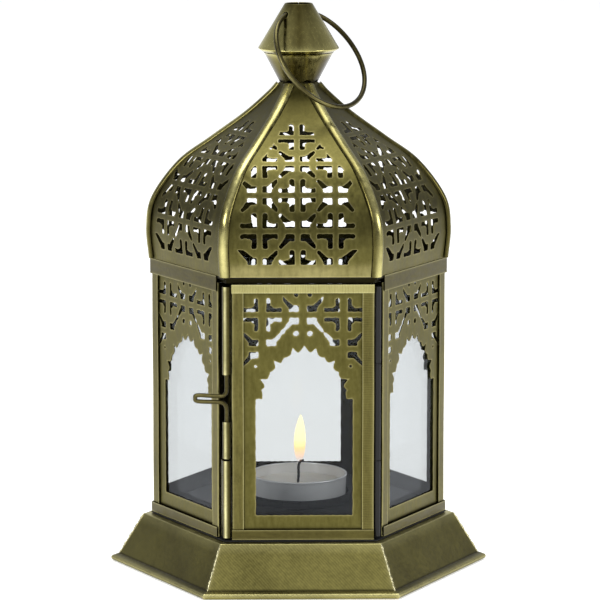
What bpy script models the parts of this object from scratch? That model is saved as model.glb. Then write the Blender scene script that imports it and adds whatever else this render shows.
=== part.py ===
"""Hexagonal brass candle lantern with a glazed, pierced body, an onion dome and a wire hanging ring.

Metres, +Z up. The origin is the centre of the base's underside, the door faces -Y and two corners of the
hexagon lie on the X axis. A wall piece is drawn where the front wall is and turned to its own wall.
"""

import math

import bmesh
import bpy
from mathutils import Vector

MM = 0.001
SIDES = 6
WALL_TURN = 2 * math.pi / SIDES
HALF_TAN = math.tan(math.pi / SIDES)
HALF_COS = math.cos(math.pi / SIDES)

# Clearances
GAP = 0.3 * MM
MITRE_GAP = 0.15 * MM
RUNNING_GAP = 0.3 * MM

# Sheet metal and glass
SHEET = 0.4 * MM
BASE_SHEET = 0.7 * MM
GLASS = 2.0 * MM

# Base skirt: its shoulder beyond the body and its flare are measured at the middle of a flat side
BASE_SHOULDER = 2.5 * MM
BASE_FLARE = 10.2 * MM
BASE_HEIGHT = 18.8 * MM
BASE_BEAD = 1.1 * MM
BASE_LEDGE = 6.5 * MM

# Body
BODY_SIDE = 49.9 * MM
BODY_HEIGHT = 97.4 * MM
RAIL_LOW = 3.7 * MM
RAIL_TOP = 3.2 * MM
STRIP = 4.4 * MM
FLOOR_RISE = 5.2 * MM
FRONT_SETBACK = 3.5 * MM
RETURN_DEPTH = 4.2 * MM
FLOOR_ROOM = 2.0 * MM
FLOOR_DRAFT = 0.4 * MM

# Door
LATCH_SPACE = 3.0 * MM
HINGE_SPACE = 1.2 * MM
DOOR_RETURN = 3.0 * MM

# Pierced sheet
ARCH_WIDTH = 36.4 * MM
ARCH_SILL = 9.2 * MM
ARCH_SPRING = 54.1 * MM
ARCH_RISE = 19.8 * MM
ARCH_LEDGE = 2.3 * MM
ARCH_CUSP = 1.6 * MM
FRET_PITCH = 15.2 * MM
FRET_RISE = 12.9 * MM
FRET_BAR = 2.4 * MM
FRET_DROP = 11.6 * MM
FRET_LAND = 0.9 * MM
FRET_MARGIN = 0.2 * MM
ARCH_LAND = 1.0 * MM
SLOT_NECK = 0.45

# Dome
EAVE_RISE = 2.7 * MM
DOME_HEIGHT = 68.3 * MM
EAVE_OVERHANG = 0.4 * MM
NECK_ROOM = 1.1 * MM
RIB_WIDTH = 3.8 * MM
RIB_PROUD = 0.9 * MM
RIB_DEPTH = 1.7 * MM
RIB_POINTS = 17
TOP_FRAME_WIDTH = 10.0 * MM
TOP_FRAME_SHEET = 0.6 * MM
TOP_FRAME_INSET = 0.4 * MM

# Finial and hanging ring
NECK_RADIUS = 7.5 * MM
LOWER_CONE_HEIGHT = 10.9 * MM
LOWER_CONE_TOP = 13.4 * MM
RIM_OVERHANG = 2.1 * MM
LIP_OVERHANG = 0.4 * MM
LIP_HEIGHT = 1.5 * MM
UPPER_CONE_HEIGHT = 17.0 * MM
TOP_RADIUS = 5.3 * MM
CONE_WALL = 0.6 * MM
CAP_RECESS = 0.9 * MM
RING_RADIUS = 21.3 * MM
RING_WIRE = 0.85 * MM
RING_HOLE = 1.6 * MM
RING_DROP_BELOW_TOP = 4.2 * MM
RING_AXIS_ANGLE = math.radians(-133.4)
RING_REST_ANGLE = math.radians(55.2)

# Hinge
HINGE_PIN = 0.5 * MM
KNUCKLE = 1.1 * MM
KNUCKLE_DEPTH = 1.6 * MM
KNUCKLE_LONG = 29.0 * MM
HINGE_RISE = 1.0 * MM
LEAF_DEPTH = 0.8 * MM
LEAF_SHEET = 0.8 * MM

# Latch
LATCH_WIRE = 0.8 * MM
BARREL = 1.6 * MM
UPPER_BARREL = 33.3 * MM
MID_BARREL = 14.0 * MM
KEEPER = 29.6 * MM
KEEPER_FOOT = 0.9 * MM
LATCH_TIP_GAP = 0.4 * MM
LATCH_RISE = 5.0 * MM
LATCH_END_GAP = 1.0 * MM
BARREL_SPACE = 0.5 * MM
BARREL_INSET = 0.7 * MM
HANDLE_REACH = 12.2 * MM
HANDLE_BACK = math.radians(14)
HANDLE_PLACE = 0.47
HANDLE_ARM = 1.15 * MM
HANDLE_BEND = 2.6 * MM

# Tealight
CUP_RADIUS = 19.0 * MM
CUP_HEIGHT = 10.3 * MM
CUP_WALL = 0.4 * MM
WAX_BELOW_RIM = 4.0 * MM
WICK_RADIUS = 0.55 * MM
WICK_HEIGHT = 8.6 * MM
HOLDER_WALL = 0.6 * MM
HOLDER_HEIGHT = 3.2 * MM
HOLDER_GAP = 0.6 * MM

# Sizes that follow from those above
BASE_TOP = BODY_SIDE + BASE_SHOULDER
BASE_FOOT = BASE_TOP + BASE_FLARE
DOME_EAVE = BODY_SIDE / HALF_COS + EAVE_OVERHANG
DOME_NECK = NECK_RADIUS + NECK_ROOM
RIM_RADIUS = LOWER_CONE_TOP + RIM_OVERHANG

# Levels
LEDGE_TOP = BASE_HEIGHT + GAP + SHEET
BODY_LOW = LEDGE_TOP + GAP
BODY_TOP = BODY_LOW + BODY_HEIGHT
FLOOR_TOP = LEDGE_TOP + FLOOR_RISE - SHEET
EAVE = BODY_TOP + EAVE_RISE
NECK = EAVE + DOME_HEIGHT

# Distances from the axis to each layer's outer face, from the outside in
RAIL_FACE = BODY_SIDE
STRIP_FACE = RAIL_FACE - SHEET - GAP
PLATE_FACE = STRIP_FACE - SHEET - GAP
GLASS_FACE = PLATE_FACE - SHEET - GAP
GLASS_BACK = GLASS_FACE - GLASS

WALL_EDGE = RAIL_FACE * HALF_TAN
DOOR_LEFT = LATCH_SPACE - WALL_EDGE
DOOR_RIGHT = WALL_EDGE - HINGE_SPACE
DOOR_WIDTH = DOOR_RIGHT - DOOR_LEFT
DOOR_SHIFT = (DOOR_LEFT + DOOR_RIGHT) / 2
SIDE_EDGE = WALL_EDGE - FRONT_SETBACK

HINGE_X = DOOR_RIGHT + GAP + KNUCKLE
HINGE_Y = -(RAIL_FACE - KNUCKLE_DEPTH)
LATCH_X = DOOR_LEFT - GAP - BARREL
LATCH_Y = -(RAIL_FACE - SHEET)

# The dome's outline over a rib, as shares of the way from neck to eave and of the dome's height
DOME_OUTLINE = (
    (1.000, 0.000),
    (1.019, 0.180),
    (0.974, 0.353),
    (0.768, 0.556),
    (0.512, 0.693),
    (0.251, 0.829),
    (0.070, 0.944),
    (0.000, 1.000),
)


def clear_scene():
    for obj in list(bpy.data.objects):
        bpy.data.objects.remove(obj, do_unlink=True)
    for collection in list(bpy.data.collections):
        bpy.data.collections.remove(collection)


def new_collection(name):
    collection = bpy.data.collections.new(name)
    bpy.context.scene.collection.children.link(collection)
    return collection


def finish(name, colour, roughness, metallic, alpha=1.0):
    """A Principled material of one colour."""
    material = bpy.data.materials.new(name)
    material.use_nodes = True
    shader = material.node_tree.nodes["Principled BSDF"]
    shader.inputs["Base Color"].default_value = (*colour, 1.0)
    shader.inputs["Roughness"].default_value = roughness
    shader.inputs["Metallic"].default_value = metallic
    shader.inputs["Alpha"].default_value = alpha
    return material


clear_scene()
LANTERN = new_collection("lantern")
CUTTERS = new_collection("cutters")
BRASS = finish("antique_brass", (0.27, 0.22, 0.09), 0.38, 1.0)
WORN_BRASS = finish("worn_brass", (0.45, 0.36, 0.15), 0.3, 1.0)
BLACKENED = finish("blackened_steel", (0.02, 0.02, 0.02), 0.6, 0.6)
CLEAR_GLASS = finish("clear_glass", (0.9, 0.95, 0.95), 0.05, 0.0, 0.25)
ALUMINIUM = finish("candle_cup_aluminium", (0.6, 0.6, 0.6), 0.3, 1.0)
WAX = finish("candle_wax", (0.8, 0.79, 0.75), 0.5, 0.0)
CHAR = finish("charred_wick", (0.02, 0.018, 0.015), 0.9, 0.0)


def place(name, data, material, location=(0, 0, 0), rotation=(0, 0, 0), parent=None):
    """Puts a mesh or a curve in the lantern's collection as a sub-part of its own."""
    data.materials.append(material)
    obj = bpy.data.objects.new(name, data)
    LANTERN.objects.link(obj)
    obj.rotation_euler = rotation
    obj.location = location
    if parent:
        obj.parent = parent
        obj.location = Vector(location) - parent.location
    return obj


def pivot(name, location):
    """An empty on the axis that its children move about or along."""
    empty = bpy.data.objects.new(name, None)
    LANTERN.objects.link(empty)
    empty.location = location
    return empty


def outline_curve(name, loops, thickness):
    """A filled 2D curve: the first loop is the outline and the others are holes."""
    curve = bpy.data.curves.new(name, "CURVE")
    curve.dimensions = "2D"
    curve.fill_mode = "BOTH"
    curve.extrude = thickness / 2
    for loop in loops:
        spline = curve.splines.new("POLY")
        spline.points.add(len(loop) - 1)
        for point, (x, y) in zip(spline.points, loop):
            point.co = (x, y, 0, 1)
        spline.use_cyclic_u = True
    return curve


def upright_plate(name, loops, face, thickness, material, wall=0, shift=0.0, parent=None):
    """A flat plate in a wall: its outline is across and up, and `face` is how far out its outer face lies."""
    curve = outline_curve(name, loops, thickness)
    turn = wall * WALL_TURN
    out = face - thickness / 2
    location = (shift * math.cos(turn) + out * math.sin(turn), shift * math.sin(turn) - out * math.cos(turn), 0)
    return place(name, curve, material, location, (math.pi / 2, 0, turn), parent)


def level_plate(name, loops, low, high, material, parent=None, origin=(0, 0)):
    """A prism with a vertical run, from an outline in plan about `origin`."""
    loops = [[(x - origin[0], y - origin[1]) for x, y in loop] for loop in loops]
    curve = outline_curve(name, loops, high - low)
    return place(name, curve, material, (*origin, (low + high) / 2), parent=parent)


def turned(name, profile, steps, material, location=(0, 0, 0), parent=None):
    """A closed profile of (radius, height), its outer side from top to bottom, turned about Z."""
    mesh = bpy.data.meshes.new(name)
    closed = profile[0][0] > 0 or profile[-1][0] > 0
    edges = [(i, i + 1) for i in range(len(profile) - 1)]
    if closed:
        edges.append((len(profile) - 1, 0))
    mesh.from_pydata([(radius, 0, height) for radius, height in profile], edges, [])
    obj = place(name, mesh, material, location, parent=parent)
    screw = obj.modifiers.new("Turn", "SCREW")
    screw.steps = steps
    screw.render_steps = steps
    screw.use_merge_vertices = True
    screw.merge_threshold = 0.01 * MM
    screw.use_smooth_shade = steps > SIDES
    return obj


def wire(name, points, radius, material, sides_level=2, origin=(0, 0, 0), parent=None):
    """A round wire along `points`, with closed ends."""
    curve = bpy.data.curves.new(name, "CURVE")
    curve.dimensions = "3D"
    curve.bevel_depth = radius
    curve.bevel_resolution = sides_level
    curve.use_fill_caps = True
    spline = curve.splines.new("POLY")
    spline.points.add(len(points) - 1)
    for point, where in zip(spline.points, points):
        point.co = (*(Vector(where) - Vector(origin)), 1)
    return place(name, curve, material, origin, parent=parent)


def smooth_path(knots, per_span):
    """A Catmull-Rom curve through the knots, which may have two or three coordinates each."""
    knots = [Vector(knot) for knot in knots]
    ends = [2 * knots[0] - knots[1], *knots, 2 * knots[-1] - knots[-2]]
    path = []
    for before, start, stop, after in zip(ends, ends[1:], ends[2:], ends[3:]):
        for step in range(per_span):
            t = step / per_span
            path.append(
                0.5 * (2 * start + (stop - before) * t
                       + (2 * before - 5 * start + 4 * stop - after) * t**2
                       + (3 * start - before - 3 * stop + after) * t**3)
            )
    path.append(knots[-1])
    return path


def rectangle(left, right, low, high):
    return [(left, low), (right, low), (right, high), (left, high)]


def on_wall(wall, out, across):
    """The place in plan that is `out` from the axis and `across` to the right on a wall, seen from outside."""
    turn = wall * WALL_TURN
    return (out * math.sin(turn) + across * math.cos(turn), across * math.sin(turn) - out * math.cos(turn))


# Base: six folded skirt plates with a rolled bead at the foot and a ledge turned in at the top

def base_section():
    """The plate's section as (distance from the axis, height), with one flat of the bead on the ground."""
    bead_sides = 16
    step = 2 * math.pi / bead_sides
    bead_height = BASE_BEAD * math.cos(step / 2)
    slope = math.atan2(BASE_FOOT - BASE_TOP, BASE_HEIGHT - bead_height)
    thick = BASE_SHEET / math.cos(slope)
    section = [
        (BASE_TOP - BASE_LEDGE, BASE_HEIGHT),
        (BASE_TOP - BASE_LEDGE, BASE_HEIGHT - BASE_SHEET),
        (BASE_TOP - thick + BASE_SHEET * math.tan(slope), BASE_HEIGHT - BASE_SHEET),
    ]
    for i in range(bead_sides - 1):
        angle = math.pi / 2 + step * (i + 2.5)
        section.append((BASE_FOOT + BASE_BEAD * math.cos(angle), bead_height + BASE_BEAD * math.sin(angle)))
    section.append((BASE_TOP, BASE_HEIGHT))
    return section


def base_panel(wall):
    """The section drawn out sideways and cut off at the two mitres."""
    shape = bmesh.new()
    reach = BASE_FOOT
    corners = [shape.verts.new((-reach, -out, height)) for out, height in base_section()]
    face = shape.faces.new(corners)
    drawn = bmesh.ops.extrude_face_region(shape, geom=[face])
    moved = [item for item in drawn["geom"] if isinstance(item, bmesh.types.BMVert)]
    bmesh.ops.translate(shape, verts=moved, vec=(2 * reach, 0, 0))
    for side in (-1, 1):
        normal = Vector((side * HALF_COS, HALF_COS * HALF_TAN, 0))
        cut = bmesh.ops.bisect_plane(
            shape,
            geom=shape.verts[:] + shape.edges[:] + shape.faces[:],
            plane_co=-MITRE_GAP * normal,
            plane_no=normal,
            clear_outer=True,
        )
        rim = [item for item in cut["geom_cut"] if isinstance(item, bmesh.types.BMEdge)]
        bmesh.ops.contextual_create(shape, geom=rim)
    bmesh.ops.recalc_face_normals(shape, faces=shape.faces)
    name = f"base_panel_{wall + 1}"
    mesh = bpy.data.meshes.new(name)
    shape.to_mesh(mesh)
    shape.free()
    place(name, mesh, BRASS, rotation=(0, 0, wall * WALL_TURN))


for wall in range(SIDES):
    base_panel(wall)


# Floor: a pressed hexagonal pan whose flange lies on the base's ledge

FLOOR_CORNER = (GLASS_BACK - FLOOR_ROOM) / HALF_COS
FLANGE_CORNER = RAIL_FACE / HALF_COS
turned(
    "floor_pan",
    [
        (0, FLOOR_TOP),
        (FLOOR_CORNER, FLOOR_TOP),
        (FLOOR_CORNER + FLOOR_DRAFT, LEDGE_TOP),
        (FLANGE_CORNER, LEDGE_TOP),
        (FLANGE_CORNER, LEDGE_TOP - SHEET),
        (FLOOR_CORNER - SHEET, LEDGE_TOP - SHEET),
        (FLOOR_CORNER - SHEET - FLOOR_DRAFT, FLOOR_TOP - SHEET),
        (0, FLOOR_TOP - SHEET),
    ],
    SIDES,
    BLACKENED,
)


# Corner posts: folded strips over the edges of the side walls

def back_post(corner):
    """A strip folded along a corner between two side walls."""
    face, back = STRIP_FACE, STRIP_FACE - SHEET
    edge = face * HALF_TAN
    before = (corner - 1) % SIDES
    loop = [
        on_wall(before, face, edge - STRIP),
        on_wall(before, face, edge),
        on_wall(corner, face, STRIP - edge),
        on_wall(corner, back, STRIP - edge),
        on_wall(corner, back, -back * HALF_TAN),
        on_wall(before, back, edge - STRIP),
    ]
    level_plate(f"corner_post_{corner}", [loop], BODY_LOW, BODY_TOP, BRASS)


def front_post(name, wall, side):
    """A strip on the front edge of a side wall, folded inwards beside the door; `side` is where that edge is."""
    face, back = STRIP_FACE, STRIP_FACE - SHEET
    inner = face - RETURN_DEPTH
    loop = [
        on_wall(wall, face, side * (SIDE_EDGE - STRIP)),
        on_wall(wall, face, side * SIDE_EDGE),
        on_wall(wall, inner, side * SIDE_EDGE),
        on_wall(wall, inner, side * (SIDE_EDGE - SHEET)),
        on_wall(wall, back, side * (SIDE_EDGE - SHEET)),
        on_wall(wall, back, side * (SIDE_EDGE - STRIP)),
    ]
    level_plate(name, [loop], BODY_LOW, BODY_TOP, BRASS)


for corner in range(2, SIDES):
    back_post(corner)
front_post("corner_post_1", 1, -1)
front_post("corner_post_6", SIDES - 1, 1)


# Pierced sheets, with a cusped arch and a fretwork of short slots above it

ARCH_LOW = BODY_LOW + ARCH_SILL
ARCH_SHOULDER = BODY_LOW + ARCH_SPRING
FRET_TOP = BODY_TOP - FRET_DROP


def arch_outline():
    """The arch's right half from sill to point, with an outward cusp at each fifth of its curve."""
    half = ARCH_WIDTH / 2
    right = [(half, ARCH_LOW), (half, ARCH_SHOULDER)]
    cusp_width = math.radians(3.5)
    cusp_angles = [math.radians(angle) for angle in (18, 41, 66)]

    def on_arch(angle, proud=0.0):
        across = (half - ARCH_LEDGE + proud) * math.cos(angle) ** 0.9
        return (across, ARCH_SHOULDER + (ARCH_RISE - ARCH_CUSP + proud) * math.sin(angle) ** 1.15)

    right.append(on_arch(0))
    for angle in cusp_angles:
        right += [on_arch(angle - cusp_width), on_arch(angle, ARCH_CUSP), on_arch(angle + cusp_width)]
    right.append(on_arch(math.radians(86)))
    point = (0, ARCH_SHOULDER + ARCH_RISE)
    return right + [point] + [(-across, height) for across, height in reversed(right)]


def crossing(across, height, left, right, low, high):
    """Four slots set diagonally round a crossing of two bars, each held within the given limits."""
    holes = []
    near = FRET_BAR / 2
    long = FRET_PITCH / 2 - FRET_LAND
    tall = FRET_RISE / 2 - FRET_LAND
    for x_side, z_side in ((1, 1), (-1, 1), (-1, -1), (1, -1)):
        far_x = min(max(across + x_side * long, left), right)
        far_z = min(max(height + z_side * tall, low), high)
        near_x = across + x_side * near
        near_z = height + z_side * near
        if (far_x - near_x) * x_side < FRET_BAR or (far_z - near_z) * z_side < FRET_BAR:
            continue
        holes.append(
            [
                (near_x, near_z),
                (near_x + SLOT_NECK * (far_x - near_x), near_z),
                (far_x, far_z),
                (near_x, near_z + SLOT_NECK * (far_z - near_z)),
            ]
        )
    return holes


def pierced_sheet(name, left, right, wall=0, shift=0.0, parent=None):
    """A sheet from `left` to `right` of the pattern's middle line."""
    holes = [arch_outline()]
    edge = STRIP + FRET_MARGIN
    limits = (left + edge, right - edge)
    high = BODY_TOP - RAIL_TOP
    holes += crossing(0, FRET_TOP, *limits, ARCH_SHOULDER + ARCH_RISE + ARCH_LAND, high)
    for side in (-1, 1):
        holes += crossing(side * FRET_PITCH, FRET_TOP, *limits, ARCH_SHOULDER, high)
        low_crossing = crossing(side * FRET_PITCH, FRET_TOP - FRET_RISE, *limits, ARCH_SHOULDER, high)
        holes += [hole for hole in low_crossing if side * hole[2][0] > FRET_PITCH]
    outline = rectangle(left, right, BODY_LOW, BODY_TOP)
    return upright_plate(name, [outline, *holes], PLATE_FACE, SHEET, BRASS, wall, shift, parent)


def side_wall(wall):
    """A pierced sheet with its pane behind it. The two walls beside the door stop short of it."""
    widest = GLASS_BACK * HALF_TAN - GAP
    beside_door = SIDE_EDGE - SHEET - GAP
    left = -beside_door if wall == 1 else -widest
    right = beside_door if wall == SIDES - 1 else widest
    middle = (left + right) / 2
    pierced_sheet(f"side_sheet_{wall}", left - middle, right - middle, wall, middle)
    pane = rectangle(left - middle, right - middle, BODY_LOW, BODY_TOP)
    upright_plate(f"side_pane_{wall}", [pane], GLASS_FACE, GLASS, CLEAR_GLASS, wall, middle)


for wall in range(1, SIDES):
    side_wall(wall)


# Bands: one strip round the five side walls at the foot and one at the head

def band(name, low, high):
    """From the front edge of one wall beside the door, round the back, to the other's."""
    outer = [on_wall(1, RAIL_FACE, -SIDE_EDGE)]
    inner = [on_wall(1, RAIL_FACE - SHEET, -SIDE_EDGE)]
    for wall in range(1, SIDES - 1):
        outer.append(on_wall(wall, RAIL_FACE, RAIL_FACE * HALF_TAN))
        inner.append(on_wall(wall, RAIL_FACE - SHEET, (RAIL_FACE - SHEET) * HALF_TAN))
    outer.append(on_wall(SIDES - 1, RAIL_FACE, SIDE_EDGE))
    inner.append(on_wall(SIDES - 1, RAIL_FACE - SHEET, SIDE_EDGE))
    level_plate(name, [outer + inner[::-1]], low, high, BRASS)


band("bottom_band", BODY_LOW, BODY_LOW + RAIL_LOW)
band("top_band", BODY_TOP - RAIL_TOP, BODY_TOP)


# Top frame: a flat hexagonal ring that closes the body and carries the dome

FRAME_CORNER = (RAIL_FACE - TOP_FRAME_INSET) / HALF_COS
FRAME_LOW = EAVE - GAP - TOP_FRAME_SHEET
LIP_CORNER = (GLASS_FACE + GAP) / HALF_COS
turned(
    "top_frame",
    [
        (FRAME_CORNER, EAVE - GAP),
        (FRAME_CORNER, FRAME_LOW),
        (LIP_CORNER, FRAME_LOW),
        (LIP_CORNER, BODY_TOP + GAP),
        (LIP_CORNER - SHEET, BODY_TOP + GAP),
        (LIP_CORNER - SHEET, FRAME_LOW),
        (FRAME_CORNER - TOP_FRAME_WIDTH, FRAME_LOW),
        (FRAME_CORNER - TOP_FRAME_WIDTH, EAVE - GAP),
    ],
    SIDES,
    BRASS,
)


# Door: two folded stiles, two rails over their ends, a pierced sheet and its pane

DOOR_AXIS = pivot("door_axis", (HINGE_X, HINGE_Y, 0))


def stile(name, edge, inward):
    """A strip up one edge of the door, folded back along that edge."""
    face, back = -STRIP_FACE, SHEET - STRIP_FACE
    loop = [
        (edge, face),
        (edge, face + DOOR_RETURN),
        (edge + inward * SHEET, face + DOOR_RETURN),
        (edge + inward * SHEET, back),
        (edge + inward * STRIP, back),
        (edge + inward * STRIP, face),
    ]
    origin = (edge, -STRIP_FACE)
    level_plate(name, [loop], BODY_LOW, BODY_TOP, BRASS, DOOR_AXIS, origin)


stile("door_stile_left", DOOR_LEFT, 1)
stile("door_stile_right", DOOR_RIGHT, -1)
for name, low, high in (
    ("door_rail_bottom", BODY_LOW, BODY_LOW + RAIL_LOW),
    ("door_rail_top", BODY_TOP - RAIL_TOP, BODY_TOP),
):
    rail = rectangle(-DOOR_WIDTH / 2, DOOR_WIDTH / 2, low, high)
    upright_plate(name, [rail], RAIL_FACE, SHEET, BRASS, shift=DOOR_SHIFT, parent=DOOR_AXIS)
DOOR_INNER = DOOR_WIDTH / 2 - SHEET - GAP
pierced_sheet("door_sheet", -DOOR_INNER, DOOR_INNER, shift=DOOR_SHIFT, parent=DOOR_AXIS)
door_pane = rectangle(-DOOR_INNER, DOOR_INNER, BODY_LOW, BODY_TOP)
upright_plate("door_pane", [door_pane], GLASS_FACE, GLASS, CLEAR_GLASS, shift=DOOR_SHIFT, parent=DOOR_AXIS)


# Tubes rolled from strip: the hinge's knuckles and the latch's barrels

def tube_loops(centre, outer, bore, tail=None, tail_width=LEAF_SHEET, sides=16):
    """A ring in plan about `centre`, with a straight tail out to the point `tail`."""
    hole = [
        (centre[0] + bore * math.cos(angle), centre[1] + bore * math.sin(angle))
        for angle in (2 * math.pi * i / sides for i in range(sides))
    ]
    if tail is None:
        start, spread = 0.0, 2 * math.pi * (sides - 1) / sides
    else:
        way = Vector(tail) - Vector(centre)
        half_mouth = math.asin(tail_width / 2 / outer)
        start, spread = math.atan2(way.y, way.x) + half_mouth, 2 * (math.pi - half_mouth)
    ring = [
        (centre[0] + outer * math.cos(start + spread * i / (sides - 1)),
         centre[1] + outer * math.sin(start + spread * i / (sides - 1)))
        for i in range(sides)
    ]
    if tail is not None:
        aside = Vector((-way.y, way.x)).normalized() * tail_width / 2
        ring += [tuple(Vector(tail) - aside), tuple(Vector(tail) + aside)]
    return [ring, hole]


def clear_of_return(wall, side, depth):
    """The point just in front of a front post's folded edge, `depth` in from its face."""
    return on_wall(wall, STRIP_FACE - depth, side * (SIDE_EDGE + GAP))


HINGE = (HINGE_X, HINGE_Y)
PIN_LOW = BODY_LOW + HINGE_RISE
PIN_TOP = BODY_TOP - HINGE_RISE
LEAF = clear_of_return(1, -1, LEAF_DEPTH)
knuckle_bore = HINGE_PIN + RUNNING_GAP
frame_knuckle = tube_loops(HINGE, KNUCKLE, knuckle_bore, LEAF)
level_plate("frame_knuckle_low", frame_knuckle, PIN_LOW, PIN_LOW + KNUCKLE_LONG, BLACKENED)
level_plate("frame_knuckle_top", frame_knuckle, PIN_TOP - KNUCKLE_LONG, PIN_TOP, BLACKENED)
level_plate(
    "door_knuckle",
    tube_loops(HINGE, KNUCKLE, knuckle_bore),
    PIN_LOW + KNUCKLE_LONG + RUNNING_GAP,
    PIN_TOP - KNUCKLE_LONG - RUNNING_GAP,
    BLACKENED,
    DOOR_AXIS,
    HINGE,
)
wire("hinge_pin", [(*HINGE, PIN_LOW), (*HINGE, PIN_TOP)], HINGE_PIN, BLACKENED, origin=(*HINGE, PIN_LOW))

LATCH = (LATCH_X, LATCH_Y)
latch_bore = LATCH_WIRE + RUNNING_GAP
KEEPER_LOW = BODY_LOW + KEEPER_FOOT
KEEPER_TOP = KEEPER_LOW + KEEPER
WIRE_TIP = KEEPER_TOP + LATCH_TIP_GAP
MID_LOW = WIRE_TIP + BARREL_SPACE
MID_TOP = MID_LOW + MID_BARREL
UPPER_TOP = BODY_TOP - BARREL_INSET
UPPER_LOW = UPPER_TOP - UPPER_BARREL
LATCH_AXIS = pivot("latch_axis", (*LATCH, WIRE_TIP))
LATCH_AXIS.parent = DOOR_AXIS
LATCH_AXIS.location = Vector((*LATCH, WIRE_TIP)) - DOOR_AXIS.location
door_barrel = tube_loops(LATCH, BARREL, latch_bore)
level_plate("latch_barrel_top", door_barrel, UPPER_LOW, UPPER_TOP, WORN_BRASS, DOOR_AXIS, LATCH)
level_plate("latch_barrel_mid", door_barrel, MID_LOW, MID_TOP, WORN_BRASS, DOOR_AXIS, LATCH)
keeper_loops = tube_loops(LATCH, BARREL, latch_bore, clear_of_return(SIDES - 1, 1, LEAF_DEPTH))
level_plate("latch_keeper", keeper_loops, KEEPER_LOW, KEEPER_TOP, WORN_BRASS)


# Latch wire: a straight bolt with a flat U bent out of it for a handle

def latch_points():
    """The bolt up to the U, out and back along the two arms, and on up into the top barrel."""
    free = UPPER_LOW - MID_TOP
    middle = MID_TOP + free * HANDLE_PLACE
    arm, bend = HANDLE_ARM, HANDLE_BEND

    def at(reach, height):
        return (LATCH_X - reach * math.cos(HANDLE_BACK), LATCH_Y + reach * math.sin(HANDLE_BACK), height)

    knots = [
        at(0, middle - arm - bend),
        at(bend / 4, middle - arm - bend / 3),
        at(bend, middle - arm),
        at(HANDLE_REACH - arm, middle - arm),
        at(HANDLE_REACH, middle),
        at(HANDLE_REACH - arm, middle + arm),
        at(bend, middle + arm),
        at(bend / 4, middle + arm + bend / 3),
        at(0, middle + arm + bend),
    ]
    path = [tuple(point) for point in smooth_path(knots, 3)]
    return [at(0, WIRE_TIP), *path, at(0, UPPER_TOP - LATCH_RISE - LATCH_END_GAP)]


latch = wire("latch_wire", latch_points(), LATCH_WIRE, WORN_BRASS, 1, (*LATCH, WIRE_TIP), LATCH_AXIS)
latch.location = (0, 0, 0)


# Dome: six pierced gores between six half-round ribs

def dome_radius_path(per_span):
    """The rib's outer line as (radius, height)."""
    reach = DOME_EAVE - DOME_NECK
    knots = [(DOME_NECK + reach * share, EAVE + DOME_HEIGHT * rise) for share, rise in DOME_OUTLINE]
    return smooth_path(knots, per_span)


OUTLINE = dome_radius_path(12)


def outline_at(share):
    """The rib's outer (radius, height) at a share of the way along its outline."""
    place_on = share * (len(OUTLINE) - 1)
    index = min(int(place_on), len(OUTLINE) - 2)
    return OUTLINE[index].lerp(OUTLINE[index + 1], place_on - index)


GORE_COLUMNS = (-1, -0.87, -0.565, -0.475, -0.045, 0.045, 0.475, 0.565, 0.87, 1)
GORE_ROWS = (0, 0.06, 0.175, 0.205, 0.325, 0.355, 0.445, 0.475, 0.565, 0.595, 0.68, 0.84, 1)


def gore(wall):
    """A sheet bent along the dome's outline, pierced in every other column and row of a grid."""
    columns, rows = len(GORE_COLUMNS) - 1, len(GORE_ROWS) - 1
    shape = bmesh.new()
    bmesh.ops.create_grid(shape, x_segments=columns, y_segments=rows, size=1)
    holes = []
    for face in shape.faces:
        middle = face.calc_center_median()
        column = int((middle.x + 1) / 2 * columns)
        row = int((middle.y + 1) / 2 * rows)
        narrow = row > 6
        if column % 2 and row % 2 and row < 10 and not (narrow and column in (1, 7)):
            holes.append(face)
    bmesh.ops.delete(shape, geom=holes, context="FACES")
    for vert in shape.verts:
        across = GORE_COLUMNS[round((vert.co.x + 1) / 2 * columns)]
        radius, height = outline_at(GORE_ROWS[round((vert.co.y + 1) / 2 * rows)])
        out = (radius - RIB_PROUD) * HALF_COS
        half = out * HALF_TAN - (RIB_WIDTH / 2 + GAP) / HALF_COS
        vert.co = (across * half, -out, height)
    bmesh.ops.recalc_face_normals(shape, faces=shape.faces)
    name = f"dome_gore_{wall + 1}"
    mesh = bpy.data.meshes.new(name)
    shape.to_mesh(mesh)
    shape.free()
    obj = place(name, mesh, BRASS, rotation=(0, 0, wall * WALL_TURN))
    shell = obj.modifiers.new("Thickness", "SOLIDIFY")
    shell.thickness = SHEET
    shell.offset = -1


def rib(corner):
    """A half-round strip whose crown follows the dome's outline."""
    name = f"dome_rib_{corner + 1}"
    curve = bpy.data.curves.new(name, "CURVE")
    curve.dimensions = "3D"
    curve.bevel_mode = "OBJECT"
    curve.bevel_object = RIB_SECTION
    curve.use_fill_caps = True
    spline = curve.splines.new("POLY")
    spline.points.add(RIB_POINTS - 1)
    for i, point in enumerate(spline.points):
        radius, height = outline_at(i / (RIB_POINTS - 1))
        point.co = (radius, 0, height, 1)
    place(name, curve, WORN_BRASS, rotation=(0, 0, (corner - 2) * WALL_TURN))


def rib_section():
    """A half ellipse, flat on its inner side, with its crown at the origin."""
    steps = 6
    arc = [math.pi * i / steps for i in range(steps + 1)]
    loop = [(RIB_WIDTH / 2 * math.cos(angle), RIB_DEPTH * (1 - math.sin(angle))) for angle in arc]
    curve = bpy.data.curves.new("rib_section", "CURVE")
    curve.dimensions = "2D"
    spline = curve.splines.new("POLY")
    spline.points.add(len(loop) - 1)
    for point, (x, y) in zip(spline.points, loop):
        point.co = (x, y, 0, 1)
    spline.use_cyclic_u = True
    section = bpy.data.objects.new("rib_section", curve)
    CUTTERS.objects.link(section)
    section.hide_render = True
    return section


RIB_SECTION = rib_section()
for wall in range(SIDES):
    gore(wall)
    rib(wall)


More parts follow.
